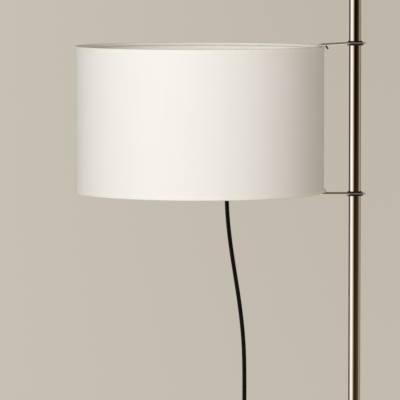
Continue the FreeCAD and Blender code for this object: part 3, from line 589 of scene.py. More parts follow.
def woven(finish, pitch, along, across):
    """A plain weave's height, from 0 to 1, on the flat cloth: along and across are its sides."""
    slow, quick = 9, 160
    slub = pitch * 0.35
    flat = finish.node("SeparateXYZ", Vector=finish.spot((along, across, 1), of="UV"))
    wander = finish.mottle(1.0, 3.0, spot=finish.spot((along * slow, across * quick, 1), of="UV"))
    drift = finish.mottle(1.0, 3.0, spot=finish.spot((along * quick, across * slow, 1), of="UV"))
    waves = []
    for side, uneven in (("X", drift), ("Y", wander)):
        shifted = finish.math("ADD", flat.outputs[side], finish.math("MULTIPLY", uneven, slub))
        waves.append(finish.math("SINE", finish.math("MULTIPLY", shifted, math.pi / pitch)))
    crossed = finish.math("MULTIPLY", *waves)
    return finish.between(crossed, 0.0, 1.0, -1.0, 1.0), wander, drift


@kept
def shade_cloth_finish():
    """Fine white cotton laid on stiff sheet: a tight plain weave with uneven threads, and painted
    shade between the threads.
    """
    settings = bpy.context.scene.lamp_shade
    white = settings.cloth
    low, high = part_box("shade_skin")
    around = math.pi * (high.x - low.x) + settings.seam_overlap
    up = high.z - low.z
    finish = Finish("white_shade_cloth", Specular_IOR_Level=0.25)
    weave, wander, drift = woven(finish, settings.thread, around, up)
    threads = finish.math("MULTIPLY", finish.math("ADD", wander, drift), 0.5)
    cloud = finish.mottle(14.0, 3.0, spot=finish.spot((around, up, 1), of="UV"))
    cloth = finish.patched(threads, shaded(white, 0.965), white)
    soft = finish.mix(finish.between(cloud, 0.0, 0.5), cloth, shaded(white, 0.985))
    # Painted shade: the colour darkens where the weave is low, between the threads.
    painted_weave_shade = finish.between(weave, 0.10, 0.0, 0.0, 0.5)
    finish.set("Base Color", finish.mix(painted_weave_shade, soft, shaded(white, 0.8)))
    finish.set("Roughness", finish.between(weave, 0.92, 0.8, 0.0, 1.0))
    finish.relief((threads, 0.12 * MM, 0.35), (weave, 0.10 * MM, 0.45))
    return finish


@kept
def shade_liner_finish():
    """The stiff sheet inside the shade: smooth and white, with the cloth's grain behind it."""
    cloth = bpy.context.scene.lamp_shade.cloth
    finish = Finish("shade_liner", Specular_IOR_Level=0.4)
    tone = finish.mottle(9.0, 3.0)
    grain = finish.mottle(1400.0, 2.0)
    finish.set("Base Color", finish.mix(tone, (0.86, 0.855, 0.84), shaded(cloth, 0.98)))
    finish.set("Roughness", finish.between(tone, 0.42, 0.56))
    finish.relief((grain, 0.05 * MM, 0.4))
    return finish


@kept
def sleeve_finish():
    """Thin cream plastic sleeve, yellowed a little and rubbed along its length."""
    finish = Finish("cream_sleeve", Specular_IOR_Level=0.3)
    tone = finish.mottle(260.0, 3.0, spot=finish.spot((1, 1, 0.4)))
    finish.set("Base Color", finish.mix(tone, (0.47, 0.44, 0.38), (0.56, 0.53, 0.46)))
    finish.set("Roughness", finish.between(tone, 0.45, 0.65))
    finish.relief((tone, 0.1 * MM, 0.3))
    return finish


@kept
def shade_tape_finish():
    """Cream binding tape with close ribs across it, and painted shade in the grooves between them."""
    rib_spacing, wander = 0.6 * MM, 0.2 * MM
    cream = bpy.context.scene.lamp_shade.tape
    finish = Finish("cream_binding_tape", Specular_IOR_Level=0.3)
    flat = finish.node("SeparateXYZ", Vector=finish.spot(of="UV"))
    uneven = finish.mottle(1.0, 3.0, spot=finish.spot((700, 90, 1), of="UV"))
    shifted = finish.math("ADD", flat.outputs["X"], finish.math("MULTIPLY", uneven, wander))
    ribs = finish.math("SINE", finish.math("MULTIPLY", shifted, 2 * math.pi / rib_spacing))
    raised = finish.between(ribs, 0.0, 1.0, -1.0, 1.0)
    tape = finish.patched(finish.mottle(60.0), cream, shaded(cream, 0.955))
    # Painted shade: the colour darkens in the grooves between the ribs.
    painted_rib_shade = finish.between(raised, 0.10, 0.0, 0.0, 0.5)
    finish.set("Base Color", finish.mix(painted_rib_shade, tape, shaded(cream, 0.7)))
    finish.set("Roughness", finish.between(uneven, 0.75, 0.92))
    finish.relief((uneven, 0.1 * MM, 0.3), (raised, 0.12 * MM, 0.5))
    return finish


@kept
def black_plastic_finish():
    """Moulded black plastic with a fine spark grain and handling marks."""
    colour = bpy.context.scene.lamp_moulded.plastic
    finish = Finish("black_plastic", Specular_IOR_Level=0.5)
    grain = finish.mottle(2200.0, 2.0)
    handled = finish.mottle(55.0, 5.0, 0.6)
    finish.set("Base Color", finish.patched(handled, colour, (0.026, 0.026, 0.027)))
    finish.set("Roughness", finish.between(handled, 0.30, 0.46))
    finish.relief((grain, 0.08 * MM, 0.45))
    return finish


@kept
def ceramic_finish():
    """Unglazed white ceramic with pores and a few grey specks."""
    colour = bpy.context.scene.lamp_moulded.ceramic
    finish = Finish("white_ceramic", Specular_IOR_Level=0.3)
    pores = finish.mottle(1700.0, 4.0, 0.7)
    body = finish.patched(finish.mottle(120.0, 3.0), colour, shaded(colour, 0.9))
    specks = finish.between(pores, 0.0, 0.5, 0.62, 0.8)
    finish.set("Base Color", finish.mix(specks, body, (0.3, 0.28, 0.25)))
    finish.set("Roughness", finish.between(pores, 0.7, 0.9))
    finish.relief((pores, 0.1 * MM, 0.4))
    return finish


@kept
def brass_finish():
    """Plain pressed brass, a little tarnished."""
    colour = bpy.context.scene.lamp_metal.brass
    finish = Finish("plain_brass", Metallic=1.0)
    tarnish = finish.mottle(210.0, 5.0, 0.6)
    lines = finish.mottle(1.0, 3.0, spot=finish.spot((400, 400, 3000)))
    finish.set("Base Color", finish.patched(tarnish, colour, shaded(colour, 0.62)))
    finish.set("Roughness", finish.between(tarnish, 0.2, 0.42))
    finish.relief((lines, 0.03 * MM, 0.4))
    return finish


@kept
def opal_glass_finish():
    """Opal glass: milky white under a clear gloss."""
    colour = bpy.context.scene.lamp_moulded.opal
    finish = Finish("opal_glass", Roughness=0.22, Coat_Weight=0.6, Coat_Roughness=0.04)
    cloud = finish.mottle(35.0, 3.0)
    finish.set("Base Color", finish.patched(cloud, colour, shaded(colour, 0.965)))
    finish.relief((cloud, 0.1 * MM, 0.05))
    return finish


@kept
def sheath_finish():
    """The cord's smooth black sheath: drawing lines along it, dust and a soft gloss."""
    colour = bpy.context.scene.lamp_cord.sheath
    finish = Finish("cord_sheath", Specular_IOR_Level=0.14)
    drawn = finish.mottle(1.0, 3.0, spot=finish.spot((12, 900, 1), of="UV"))
    dull = finish.mottle(1.0, spot=finish.spot((40, 60, 1), of="UV"))
    finish.set("Base Color", finish.patched(dull, colour, (0.006, 0.0055, 0.005)))
    finish.set("Roughness", finish.between(dull, 0.42, 0.58))
    finish.relief((drawn, 0.06 * MM, 0.4))
    return finish


FINISHES = {
    "chrome": chrome_finish,
    "cast_weight": cast_weight_finish,
    "rubber": rubber_finish,
    "zinc_steel": zinc_finish,
    "white_steel": white_steel_finish,
    "shade_cloth": shade_cloth_finish,
    "shade_tape": shade_tape_finish,
    "black_plastic": black_plastic_finish,
    "ceramic_core": ceramic_finish,
    "brass": brass_finish,
    "bulb_glass": opal_glass_finish,
    "cord_sheath": sheath_finish,
}


# Studio

def build_camera(settings):
    """The camera at the photograph's viewing angle. The picture is square."""
    shade_low, shade_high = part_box("shade_skin")
    across = (shade_low.x + shade_high.x) / 2 + settings.picture_offset
    aim = Vector((across, 0.0, settings.picture_centre_height))
    back = Vector((0.0, -math.cos(settings.look_down), math.sin(settings.look_down)))
    place = aim + back * settings.distance
    bpy.ops.object.camera_add(location=place, rotation=(math.pi / 2 - settings.look_down, 0, 0))
    camera = bpy.context.object
    camera.name = "camera"
    camera.data.lens = camera.data.sensor_width * settings.distance / settings.picture_width
    bpy.context.scene.camera = camera


def build_key_light(settings):
    """A square soft light that points at the middle of the shade."""
    shade_low, shade_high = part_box("shade_skin")
    aim = (shade_low + shade_high) / 2
    turn, rise = settings.key_turn, settings.key_rise
    out = Vector((math.sin(turn) * math.cos(rise), -math.cos(turn) * math.cos(rise), math.sin(rise)))
    bpy.ops.object.light_add(type="AREA", location=aim + out * settings.key_distance)
    light = bpy.context.object
    light.name = "key_light"
    light.rotation_euler = out.to_track_quat("Z", "Y").to_euler()
    light.data.shape = "SQUARE"
    light.data.size = settings.key_side
    light.data.energy = settings.key
    light.data.color = settings.key_colour
    light.visible_glossy = False


# What polished metal sees round the studio at eye level: turn from the camera's side in
# degrees, positive to the right, and the colour there. Dark room in front, bright wall left.
# These colours are fitted to the photograph. They began as the colours read across its
# column, set at the turns where a round mirror shows them, and were adjusted by comparing
# renders, so they hold colours sampled from the photograph.
STUDIO_WALLS = (
    (-180, (0.10, 0.08, 0.06)),
    (-165, (0.012, 0.008, 0.005)),
    (-122, (0.012, 0.008, 0.005)),
    (-112, (0.10, 0.085, 0.07)),
    (-98, (0.62, 0.58, 0.53)),
    (-84, (1.15, 1.12, 1.05)),
    (-58, (1.10, 1.05, 0.97)),
    (-44, (0.85, 0.74, 0.62)),
    (-28, (0.34, 0.25, 0.18)),
    (-17, (0.05, 0.030, 0.018)),
    (-8, (0.006, 0.003, 0.001)),
    (12, (0.004, 0.002, 0.0008)),
    (29, (0.016, 0.009, 0.004)),
    (50, (0.028, 0.019, 0.009)),
    (68, (0.075, 0.055, 0.035)),
    (84, (0.22, 0.165, 0.115)),
    (96, (0.50, 0.385, 0.275)),
    (110, (0.46, 0.35, 0.25)),
    (124, (0.15, 0.115, 0.075)),
    (150, (0.12, 0.09, 0.06)),
    (180, (0.10, 0.08, 0.06)),
)
CEILING = (0.20, 0.148, 0.104)
GROUND = (0.80, 0.74, 0.62)
HAZE = (0.9, 0.56, 0.26)
HAZE_SHARE = 0.035
# Where one part of the room goes over into the next, as the X or Z of a direction.
CEILING_FADE = (0.12, 0.5)
GROUND_FADE = (-0.25, -0.6)
HAZE_FADE = (-0.04, -0.11)
BACKDROP_ACROSS = (-0.052, 0.035)
BACKDROP_DOWN = (-0.018, -0.122)
FILL_ACROSS = (-0.8, 0.8)
FILL_OVERHEAD = (0.1, 0.8)
FLOOR_RADIUS = 2.6
FLOOR_SOLID_TO = 0.9
FLOOR_GONE_FROM = 2.4


def wall_colours(room, way):
    """The colours round the studio at eye level, by the turn of a direction."""
    turn = room.math("ARCTAN2", way["X"], room.math("MULTIPLY", way["Y"], -1.0))
    ramp = room.node("ValToRGB", Fac=room.between(turn, 0.0, 1.0, -math.pi, math.pi))
    stops = ramp.color_ramp.elements
    for index, (degrees, colour) in enumerate(STUDIO_WALLS):
        position = (degrees + 180) / 360
        stop = stops.new(position) if index else stops[0]
        stop.position = position
        stop.color = (*colour, 1.0)
    stops.remove(stops[-1])
    return ramp.outputs["Color"]


def light_world(settings):
    """A plain warm wall for the camera, a studio for reflections and soft light all round."""
    world = bpy.context.scene.world or bpy.data.worlds.new("studio")
    bpy.context.scene.world = world
    world.use_nodes = True
    world.node_tree.nodes.clear()
    room = Nodes(world.node_tree)
    way = room.node("SeparateXYZ", Vector=room.node("TexCoord").outputs["Generated"]).outputs

    def fade(side, places, share=1.0):
        return room.between(way[side], 0.0, share, *places)

    reflected = room.mix(fade("Z", CEILING_FADE), wall_colours(room, way), CEILING)
    reflected = room.mix(fade("Z", GROUND_FADE), reflected, GROUND)
    reflected = room.mix(fade("Z", HAZE_FADE, HAZE_SHARE), reflected, HAZE)
    right_side = room.mix(fade("Z", BACKDROP_DOWN), settings.wall_right, settings.wall_low)
    seen = room.mix(fade("X", BACKDROP_ACROSS), settings.wall_left, right_side)
    light = room.mix(fade("X", FILL_ACROSS), settings.fill_left, settings.fill_right)
    light = room.mix(fade("Z", FILL_OVERHEAD), light, shaded(CEILING, 0.67))

    rays = room.node("LightPath").outputs
    shiny = room.math("MAXIMUM", rays["Is Glossy Ray"], rays["Is Transmission Ray"])
    shown = room.node("Background", Color=light).outputs[0]
    for ray, colour in ((shiny, reflected), (rays["Is Camera Ray"], seen)):
        chosen = room.node("MixShader", Fac=ray)
        room.plug(chosen.inputs[1], shown)
        room.plug(chosen.inputs[2], room.node("Background", Color=colour).outputs[0])
        shown = chosen.outputs[0]
    room.node("OutputWorld", Surface=shown)


def build_floor(settings):
    """A pale floor that fades into the backdrop away from the lamp."""
    select_only()
    bpy.ops.mesh.primitive_circle_add(vertices=96, radius=FLOOR_RADIUS, fill_type="NGON")
    floor = added("studio_floor")
    with whole_mesh():
        bpy.ops.mesh.inset(thickness=1.2)
    finish = Finish("studio_floor", Roughness=0.85, Specular_IOR_Level=0.1)
    tone = finish.mottle(3.0, 3.0)
    wall = settings.wall_left
    finish.set("Base Color", finish.mix(tone, shaded(wall, 1.42), shaded(wall, 1.50)))
    away = finish.reach(finish.node("TexCoord").outputs["Object"])
    finish.set("Alpha", finish.between(away, 1.0, 0.0, FLOOR_SOLID_TO, FLOOR_GONE_FROM))
    floor.data.materials.append(finish.material)
    floor.visible_glossy = False


class LAMP_OT_studio(bpy.types.Operator):
    """Set the camera, the soft light, the backdrop and the floor"""
    bl_idname = "lamp.studio"
    bl_label = "Studio"

    def execute(self, context):
        settings = context.scene.lamp_studio
        context.scene.view_settings.view_transform = "Standard"
        build_camera(settings)
        light_world(settings)
        build_key_light(settings)
        build_floor(settings)
        return {"FINISHED"}


# The lamp's pieces

ROUND_STEPS = 420
GLUE = 0.05 * MM
CLOTH_RIPPLE = 0.12 * MM
TAPE_THICKNESS = 0.5 * MM
TAPE_BEND = 1.15 * MM
TAPE_BEND_STEPS = 4
TAPE_WANDER = 0.25 * MM
BEHIND_RING = 0.1 * MM
BELOW_RING = 0.3 * MM
ARM_WIRE_RADIUS = 1.6 * MM
ARM_BEND = 4.0 * MM
ARM_LEVEL_FROM = -14.0 * MM
PRONG_RADIUS = 1.0 * MM
PRONG_LEAN = 4.2 * MM
PRONG_DROP = 6.4 * MM
RIM_GAP = 0.2 * MM
SLEEVE_WALL = 0.2 * MM
HOOK_SLEEVE_WALL = 0.4 * MM
HOOK_SLEEVE_BELOW = 0.5 * MM
LIP_BEYOND_GRIP = 1.55 * MM
LIP_INTO_GRIP = 0.3 * MM
LIP_ABOVE_EDGE = 0.05 * MM
LIP_BELOW_WIRE = 0.1 * MM
LIP_CHAMFERS = (0.6 * MM, 0.5 * MM)
LIP_SIDES = 96
WELD_SIZE = (2.9 * MM, 2.6 * MM, 0.9 * MM)
WELD_RIPPLE = 0.15 * MM
SCREW_RADIUS = 2.0 * MM
SCREW_DEPTH = 1.5 * MM
SCREW_PROUD = 1.1 * MM
SCREW_SLOT = (3.2 * MM, 0.8 * MM, 0.6 * MM)
THREAD_RADIUS = 19.5 * MM
THREAD_THICKNESS = 1.5 * MM
THREAD_FROM = 5.4 * MM
THREAD_PITCH = 3.0 * MM
THREAD_TURNS = 6
PLUG_RIB_SIZE = (8.0 * MM, 1.0 * MM, 1.0 * MM)
PLUG_RIB_FROM_BACK = 2.0 * MM
PLUG_RIBS_EACH_SIDE = 9
PLUG_RIB_SPACING = math.radians(9)
HEAD = "shade_head"
FLOOR_CORD = "floor_cord"


def coil_points():
    """The coil's control points: clockwise half turns that shrink, climb and grow again."""
    points = []
    here = COIL_START.copy()
    climb_turn = COIL_TURNS_IN
    for half_turn in range(COIL_TURNS_IN + 1 + COIL_TURNS_OUT):
        radius = COIL_RADIUS - COIL_STEP / 2 * (climb_turn - abs(half_turn - climb_turn))
        side = 1 if half_turn % 2 == 0 else -1
        climb = COIL_LAYER if half_turn == climb_turn else 0.0
        centre = here - Vector((0.0, side * radius, 0.0))
        swell = 2 / (1 + math.cos(math.pi / COIL_POINTS))
        for step in range(COIL_POINTS):
            share = (step + 0.5) / COIL_POINTS
            turn = math.pi * share
            out = Vector((side * math.sin(turn), side * math.cos(turn), 0.0)) * radius * swell
            points.append(centre + out + Vector((0.0, 0.0, climb * share)))
        here = here + Vector((0.0, -side * 2 * radius, climb))
    return points, here


def route_line(name, points):
    """Points read from the smooth spline that has these control points."""
    curve = bpy.data.curves.new(name, "CURVE")
    curve.dimensions = "3D"
    curve.resolution_u = 14
    spline = curve.splines.new("NURBS")
    spline.points.add(len(points) - 1)
    for control, point in zip(spline.points, points):
        control.co = (*(point * MM), 1.0)
    spline.order_u = 3
    spline.use_endpoint_u = True
    route = bpy.data.objects.new(name, curve)
    mesh = bpy.data.meshes.new_from_object(route)
    line = [vertex.co.copy() for vertex in mesh.vertices]
    bpy.data.meshes.remove(mesh)
    bpy.data.curves.remove(curve)
    return line


def sweep_cord(name, line, diameter, sides):
    """A closed round tube along a line, its rings kept from twisting."""
    headings = []
    for index, point in enumerate(line):
        before = line[max(index - 1, 0)]
        after = line[min(index + 1, len(line) - 1)]
        headings.append((after - before).normalized())
    across = headings[0].orthogonal().normalized()
    points, faces, lengths = [], [], [0.0]
    for index, (centre, heading) in enumerate(zip(line, headings)):
        if index:
            across = headings[index - 1].rotation_difference(heading) @ across
            across = (across - heading * across.dot(heading)).normalized()
            lengths.append(lengths[-1] + (centre - line[index - 1]).length)
        upward = heading.cross(across)
        for side in range(sides):
            turn = 2 * math.pi * side / sides
            points.append(centre + (across * math.cos(turn) + upward * math.sin(turn)) * diameter / 2)
    for ring in range(len(line) - 1):
        for side in range(sides):
            after = (side + 1) % sides
            low, high = ring * sides, (ring + 1) * sides
            faces.append((low + side, low + after, high + after, high + side))
    faces.append(tuple(reversed(range(sides))))
    faces.append(tuple((len(line) - 1) * sides + side for side in range(sides)))
    mesh = bpy.data.meshes.new(name)
    mesh.from_pydata(points, [], faces)
    piece = bpy.data.objects.new(name, mesh)
    bpy.context.scene.collection.objects.link(piece)
    sheet = mesh.uv_layers.new(name="sheath")
    for face in mesh.polygons[:-2]:
        ring, side = divmod(face.index, sides)
        corners = ((0, 0), (0, 1), (1, 1), (1, 0))
        for loop, (up, over) in zip(face.loop_indices, corners):
            around = (side + over) / sides * math.pi * diameter
            sheet.data[loop].uv = (lengths[ring + up], around)
    settle(piece, 60.0)
    return piece


def build_lamp_cord(settings):
    """The cord from the lampholder through the shade and down to the foot switch."""
    lead = [Vector((x, 0.0, z)) for x, z in LEAD_ROUTE]
    drop = [Vector((x, 0.0, z)) for x, z in DROP_ROUTE]
    floor = [Vector(point) for point in FLOOR_ROUTE]
    floor += [SWITCH_ENTRY - SWITCH_ALONG * SWITCH_RUN,
              SWITCH_ENTRY + SWITCH_ALONG * SHEATH_INTO_RELIEF]
    line = route_line("cord_lamp_route", lead + drop + floor)
    cord = sweep_cord("cord_lamp", line, settings.diameter, settings.sides)
    finish_piece(cord, None, "cord_sheath", ("cord_lead", "cord_drop", "cord_floor"))
    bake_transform(cord)


def build_mains_cord(settings):
    """The cord from the foot switch round the put-away coil and on to the plug."""
    link = [SWITCH_EXIT - SWITCH_ALONG * SHEATH_INTO_RELIEF,
            SWITCH_EXIT + SWITCH_ALONG * SWITCH_EXIT_RUN]
    link += [Vector(point) for point in LINK_ROUTE]
    coil_lead = ALONG * (settings.diameter / MM)
    coil_entry = COIL_START - coil_lead
    link += [coil_entry - ALONG * COIL_ENTRY_RUN, coil_entry]
    turns, coil_end = coil_points()
    coil_exit = coil_end + coil_lead
    tail = [coil_exit, coil_exit + ALONG * TAIL_RUN,
            PLUG_ENTRY - ALONG * TAIL_RUN, PLUG_ENTRY + ALONG * SHEATH_INTO_RELIEF]
    line = route_line("cord_mains_route", link + turns + tail)
    cord = sweep_cord("cord_mains", line, settings.diameter, settings.sides)
    finish_piece(cord, FLOOR_CORD, "cord_sheath", ("cord_link", "cord_coil", "cord_tail"))


class LAMP_OT_cord(bpy.types.Operator):
    """Make the black cord from the lampholder to the switch and on to the plug"""
    bl_idname = "lamp.cord"
    bl_label = "Cord"

    def execute(self, context):
        build_lamp_cord(context.scene.lamp_cord)
        build_mains_cord(context.scene.lamp_cord)
        return {"FINISHED"}


def seam_lift(angle, overlap, radius, thickness, tape=False):
    """How far the cloth, or the tape over it, stands out near the seam at the back."""
    ease = 14 * MM
    fall = 4 * MM
    along = (angle - math.pi / 2) * radius
    rise = min(max((along + overlap / 2 + ease) / ease, 0.0), 1.0)
    drop = min(max((overlap / 2 + fall - along) / fall, 0.0), 1.0) if tape else 1.0
    smooth = [share * share * (3 - 2 * share) for share in (rise, drop)]
    return smooth[0] * smooth[1] * (thickness + GLUE)


def build_shade_cloth(settings):
    """The cloth on its stiff backing: one sheet rolled to a drum and lapped at the back."""
    low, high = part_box("shade_skin")
    middle = (low + high) / 2
    radius = (high.x - low.x) / 2
    height = high.z - low.z
    overlap = settings.seam_overlap
    thickness = settings.cloth_thickness
    length = 2 * math.pi * radius + overlap
    waves_along, waves_up = 22, 9
    select_only()
    bpy.ops.mesh.primitive_grid_add(x_subdivisions=ROUND_STEPS, y_subdivisions=24, size=1)
    cloth = added("shade_cloth")
    with whole_mesh():
        bpy.ops.transform.resize(value=(length, height, 1.0))
    first_angle = math.pi / 2 - overlap / 2 / radius
    for vertex in cloth.data.vertices:
        along = vertex.co.x + length / 2
        angle = first_angle + along / radius
        near_end = along > length / 2
        lift = seam_lift(angle - 2 * math.pi, overlap, radius, thickness) if near_end else 0.0
        wave = Vector((along * waves_along, vertex.co.y * waves_up, 0.5))
        ripple = noise.noise(wave) * CLOTH_RIPPLE
        out = radius + lift + ripple
        vertex.co = middle + Vector((math.cos(angle) * out, math.sin(angle) * out, vertex.co.y))
    cloth.data.materials.append(shade_cloth_finish())
    cloth.data.materials.append(shade_liner_finish())
    apply_modifier(cloth, "SOLIDIFY", thickness=thickness, offset=-1.0, material_offset=1)
    settle(cloth)
    finish_piece(cloth, HEAD, "shade_cloth", ("shade_skin",))


def lay_around(piece, middle, radius):
    """A map in metres: along the rim, and across the tape."""
    mesh = piece.data
    band = mesh.uv_layers[0] if mesh.uv_layers else mesh.uv_layers.new(name="band")
    for face in mesh.polygons:
        facing = math.atan2(face.center.y - middle.y, face.center.x - middle.x)
        for loop in face.loop_indices:
            place = mesh.vertices[mesh.loops[loop].vertex_index].co
            angle = math.atan2(place.y - middle.y, place.x - middle.x)
            if angle - facing > math.pi:
                angle -= 2 * math.pi
            elif facing - angle > math.pi:
                angle += 2 * math.pi
            reach = math.hypot(place.x - middle.x, place.y - middle.y)
            band.data[loop].uv = (angle * radius, place.z + reach)


def build_rim_tape(settings, rim, inward):
    """The tape folded over the cloth's edge and its wire ring. Inward is -1 at the top rim."""
    low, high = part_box(f"rim_tape_{rim}")
    ring_low, ring_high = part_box(f"rim_wire_{rim}")
    middle = (low + high) / 2
    half = TAPE_THICKNESS / 2
    wire = ring_high.z - ring_low.z
    ring = (ring_high.x - ring_low.x) / 2
    outer = (high.x - low.x) / 2 - half
    inner = ring - wire - half - BEHIND_RING
    glued = ring - half
    below_wire = (ring_low.z if inward < 0 else ring_high.z) + inward * BELOW_RING
    crest = (high.z if inward < 0 else low.z) + inward * half
    edge = low.z if inward < 0 else high.z
    inner_edge = crest + inward * (settings.tape_inside - half)
    profile = [(outer, edge), (outer, (edge + crest) / 2)]
    for centre, start in ((outer - TAPE_BEND, 0), (inner + TAPE_BEND, 90)):
        for step in range(TAPE_BEND_STEPS + 1):
            turn = math.radians(start + step * 90 / TAPE_BEND_STEPS)
            level = crest + inward * TAPE_BEND * (1 - math.sin(turn))
            profile.append((centre + math.cos(turn) * TAPE_BEND, level))
    profile += [(inner, below_wire), (glued, inner_edge)]
    tape = draw_profile(f"tape_{rim}", profile)
    tape.location = (middle.x, middle.y, 0.0)
    revolve(tape, ROUND_STEPS)
    settle(tape)
    at_the_edge = 0.01 * MM
    waves = 70
    for vertex in tape.data.vertices:
        out = Vector((vertex.co.x - middle.x, vertex.co.y - middle.y, 0.0))
        angle = math.atan2(out.y, out.x)
        if out.length > (outer + inner) / 2:
            vertex.co += out.normalized() * seam_lift(
                angle, settings.seam_overlap, outer, settings.cloth_thickness, tape=True)
        if min(abs(vertex.co.z - edge), abs(vertex.co.z - inner_edge)) < at_the_edge:
            wander = noise.noise(Vector((out.x * waves, out.y * waves, out.length * 900)))
            vertex.co.z += inward * wander * TAPE_WANDER
    lay_around(tape, middle, outer)
    apply_modifier(tape, "SOLIDIFY", thickness=TAPE_THICKNESS, offset=0.0)
    settle(tape, 50.0)
    finish_piece(tape, HEAD, "shade_tape", (f"rim_tape_{rim}",))


class LAMP_OT_shade(bpy.types.Operator):
    """Make the cloth drum and the tape on its rims, and finish the wire rings"""
    bl_idname = "lamp.shade"
    bl_label = "Shade"

    def execute(self, context):
        settings = context.scene.lamp_shade
        build_shade_cloth(settings)
        build_rim_tape(settings, "top", -1)
        build_rim_tape(settings, "bottom", 1)
        dress("rim_wire_top", "rim_wire_bottom")
        return {"FINISHED"}


class LAMP_OT_column(bpy.types.Operator):
    """Finish the column, its cap, collar and screws, and the weighted foot"""
    bl_idname = "lamp.column"
    bl_label = "Column and foot"

    def execute(self, context):
        dress("column_tube", "column_cap", "column_collar", "column_insert", "collar_screws")
        dress("foot_cover", "foot_weight", "foot_pad", "foot_washer", "foot_bolt")
        return {"FINISHED"}


def both_legs(name, piece, leg):
    """The piece made on the front leg of an arm, and its copy on the back leg."""
    still = (0.0, 0.0, 0.0)
    pair = repeated(name, piece, [(0, still, still), (0, still, (0.0, 2 * leg, 0.0))])
    settle(pair)
    return pair


def build_prong_sleeves():
    """Rubber sleeves on the upper arm's two prongs, which keep the rim from the wire."""
    rim_low, rim_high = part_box("rim_tape_top")
    low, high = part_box("arm_top")
    leg = high.y - ARM_WIRE_RADIUS
    rim_radius = (rim_high.x - rim_low.x) / 2
    rim_x = (rim_low.x + rim_high.x) / 2 + math.sqrt(rim_radius ** 2 - leg ** 2)
    root_x = rim_x + PRONG_RADIUS + RIM_GAP
    hook_x = low.x + ARM_WIRE_RADIUS
    rim_level = rim_high.z + RIM_GAP + ARM_WIRE_RADIUS
    seat_level = high.z - ARM_WIRE_RADIUS
    share = (root_x - hook_x) / (ARM_LEVEL_FROM - hook_x)
    wire = Vector((root_x, -leg, rim_level + (seat_level - rim_level) * share))
    reach = Vector((PRONG_LEAN, 0.0, -PRONG_DROP))
    radius = PRONG_RADIUS + SLEEVE_WALL
    root = wire + reach.normalized() * ARM_WIRE_RADIUS * 1.1
    tip = wire + reach + reach.normalized() * radius
    sleeve = rod("prong_sleeve", root, tip, radius, rounding=0.6 * MM)
    finish_piece(both_legs("prong_sleeves", sleeve, leg), HEAD, "rubber")


def build_hook_sleeves():
    """Cream sleeves on the upper arm's two hooks, where they go down inside the shade."""
    low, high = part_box("arm_top")
    leg = high.y - ARM_WIRE_RADIUS
    hook_x = low.x + ARM_WIRE_RADIUS
    foot = low.z - HOOK_SLEEVE_BELOW
    bend_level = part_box("rim_tape_top")[1].z + RIM_GAP + ARM_WIRE_RADIUS - ARM_BEND
    select_only()
    bpy.ops.mesh.primitive_circle_add(
        vertices=24, radius=ARM_WIRE_RADIUS + HOOK_SLEEVE_WALL, fill_type="NGON",
        location=(hook_x, -leg, foot))
    sleeve = added("hook_sleeve")
    bpy.ops.object.transform_apply(location=True, rotation=True, scale=True)
    with whole_mesh():
        bpy.ops.mesh.extrude_region_move(
            TRANSFORM_OT_translate={"value": (0.0, 0.0, bend_level - foot)})
        bpy.ops.mesh.spin(steps=10, angle=math.radians(90), axis=(0.0, -1.0, 0.0),
                          center=(hook_x + ARM_BEND, -leg, bend_level))
    face_outwards(sleeve)
    break_edges(sleeve, 0.3 * MM, 2, sharper_than=60)
    settle(sleeve)
    sleeves = both_legs("hook_sleeves", sleeve, leg)
    finish_piece(sleeves, HEAD, "shade_tape", finish=sleeve_finish())


def build_grip_lip(place):
    """A grip's lower lip, which stands out under the wire and carries it."""
    low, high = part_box(f"grip_ring_{place}")
    middle = (low + high) / 2
    flange = (high.x - low.x) / 2
    outer = flange + LIP_BEYOND_GRIP
    inner = flange - LIP_INTO_GRIP
    under = low.z + LIP_ABOVE_EDGE
    top = middle.z - ARM_WIRE_RADIUS - LIP_BELOW_WIRE
    low_cut, high_cut = LIP_CHAMFERS
    profile = ((inner, under), (outer - low_cut, under), (outer, under + low_cut),
               (outer, top - high_cut), (outer - high_cut, top), (inner, top), (inner, under))
    lip = draw_profile(f"grip_lip_{place}", profile)
    lip.location = (middle.x, middle.y, 0.0)
    revolve(lip, LIP_SIDES)
    break_edges(lip, 0.15 * MM, 2, sharper_than=35)
    settle(lip)
    finish_piece(lip, HEAD, "rubber")


def build_carrier_welds():
    """The weld on the carrier's upper face at each end of the lower arm."""
    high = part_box("arm_bottom")[1]
    shade_low, shade_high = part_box("shade_skin")
    leg = high.y - ARM_WIRE_RADIUS
    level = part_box("holder_carrier")[1].z
    select_only()
    bpy.ops.mesh.primitive_uv_sphere_add(
        segments=32, ring_count=16, radius=1, scale=WELD_SIZE,
        location=((shade_low.x + shade_high.x) / 2, -leg, level))
    bead = added("weld_bead")
    settle(bead)
    for vertex in bead.data.vertices:
        vertex.co.z += noise.noise(vertex.co * 900) * WELD_RIPPLE
    welds = both_legs("carrier_welds", bead, leg)
    finish_piece(welds, HEAD, "chrome", finish=weld_finish())


class LAMP_OT_arms(bpy.types.Operator):
    """Finish the wire arms, their grips and the cord guide; add sleeves, lips and welds"""
    bl_idname = "lamp.arms"
    bl_label = "Arms and grips"

    def execute(self, context):
        dress("arm_top", "arm_bottom", finish=arm_finish())
        dress("grip_ring_top", "grip_ring_bottom", "cord_guide")
        build_prong_sleeves()
        build_hook_sleeves()
        build_grip_lip("top")
        build_grip_lip("bottom")
        build_carrier_welds()
        return {"FINISHED"}


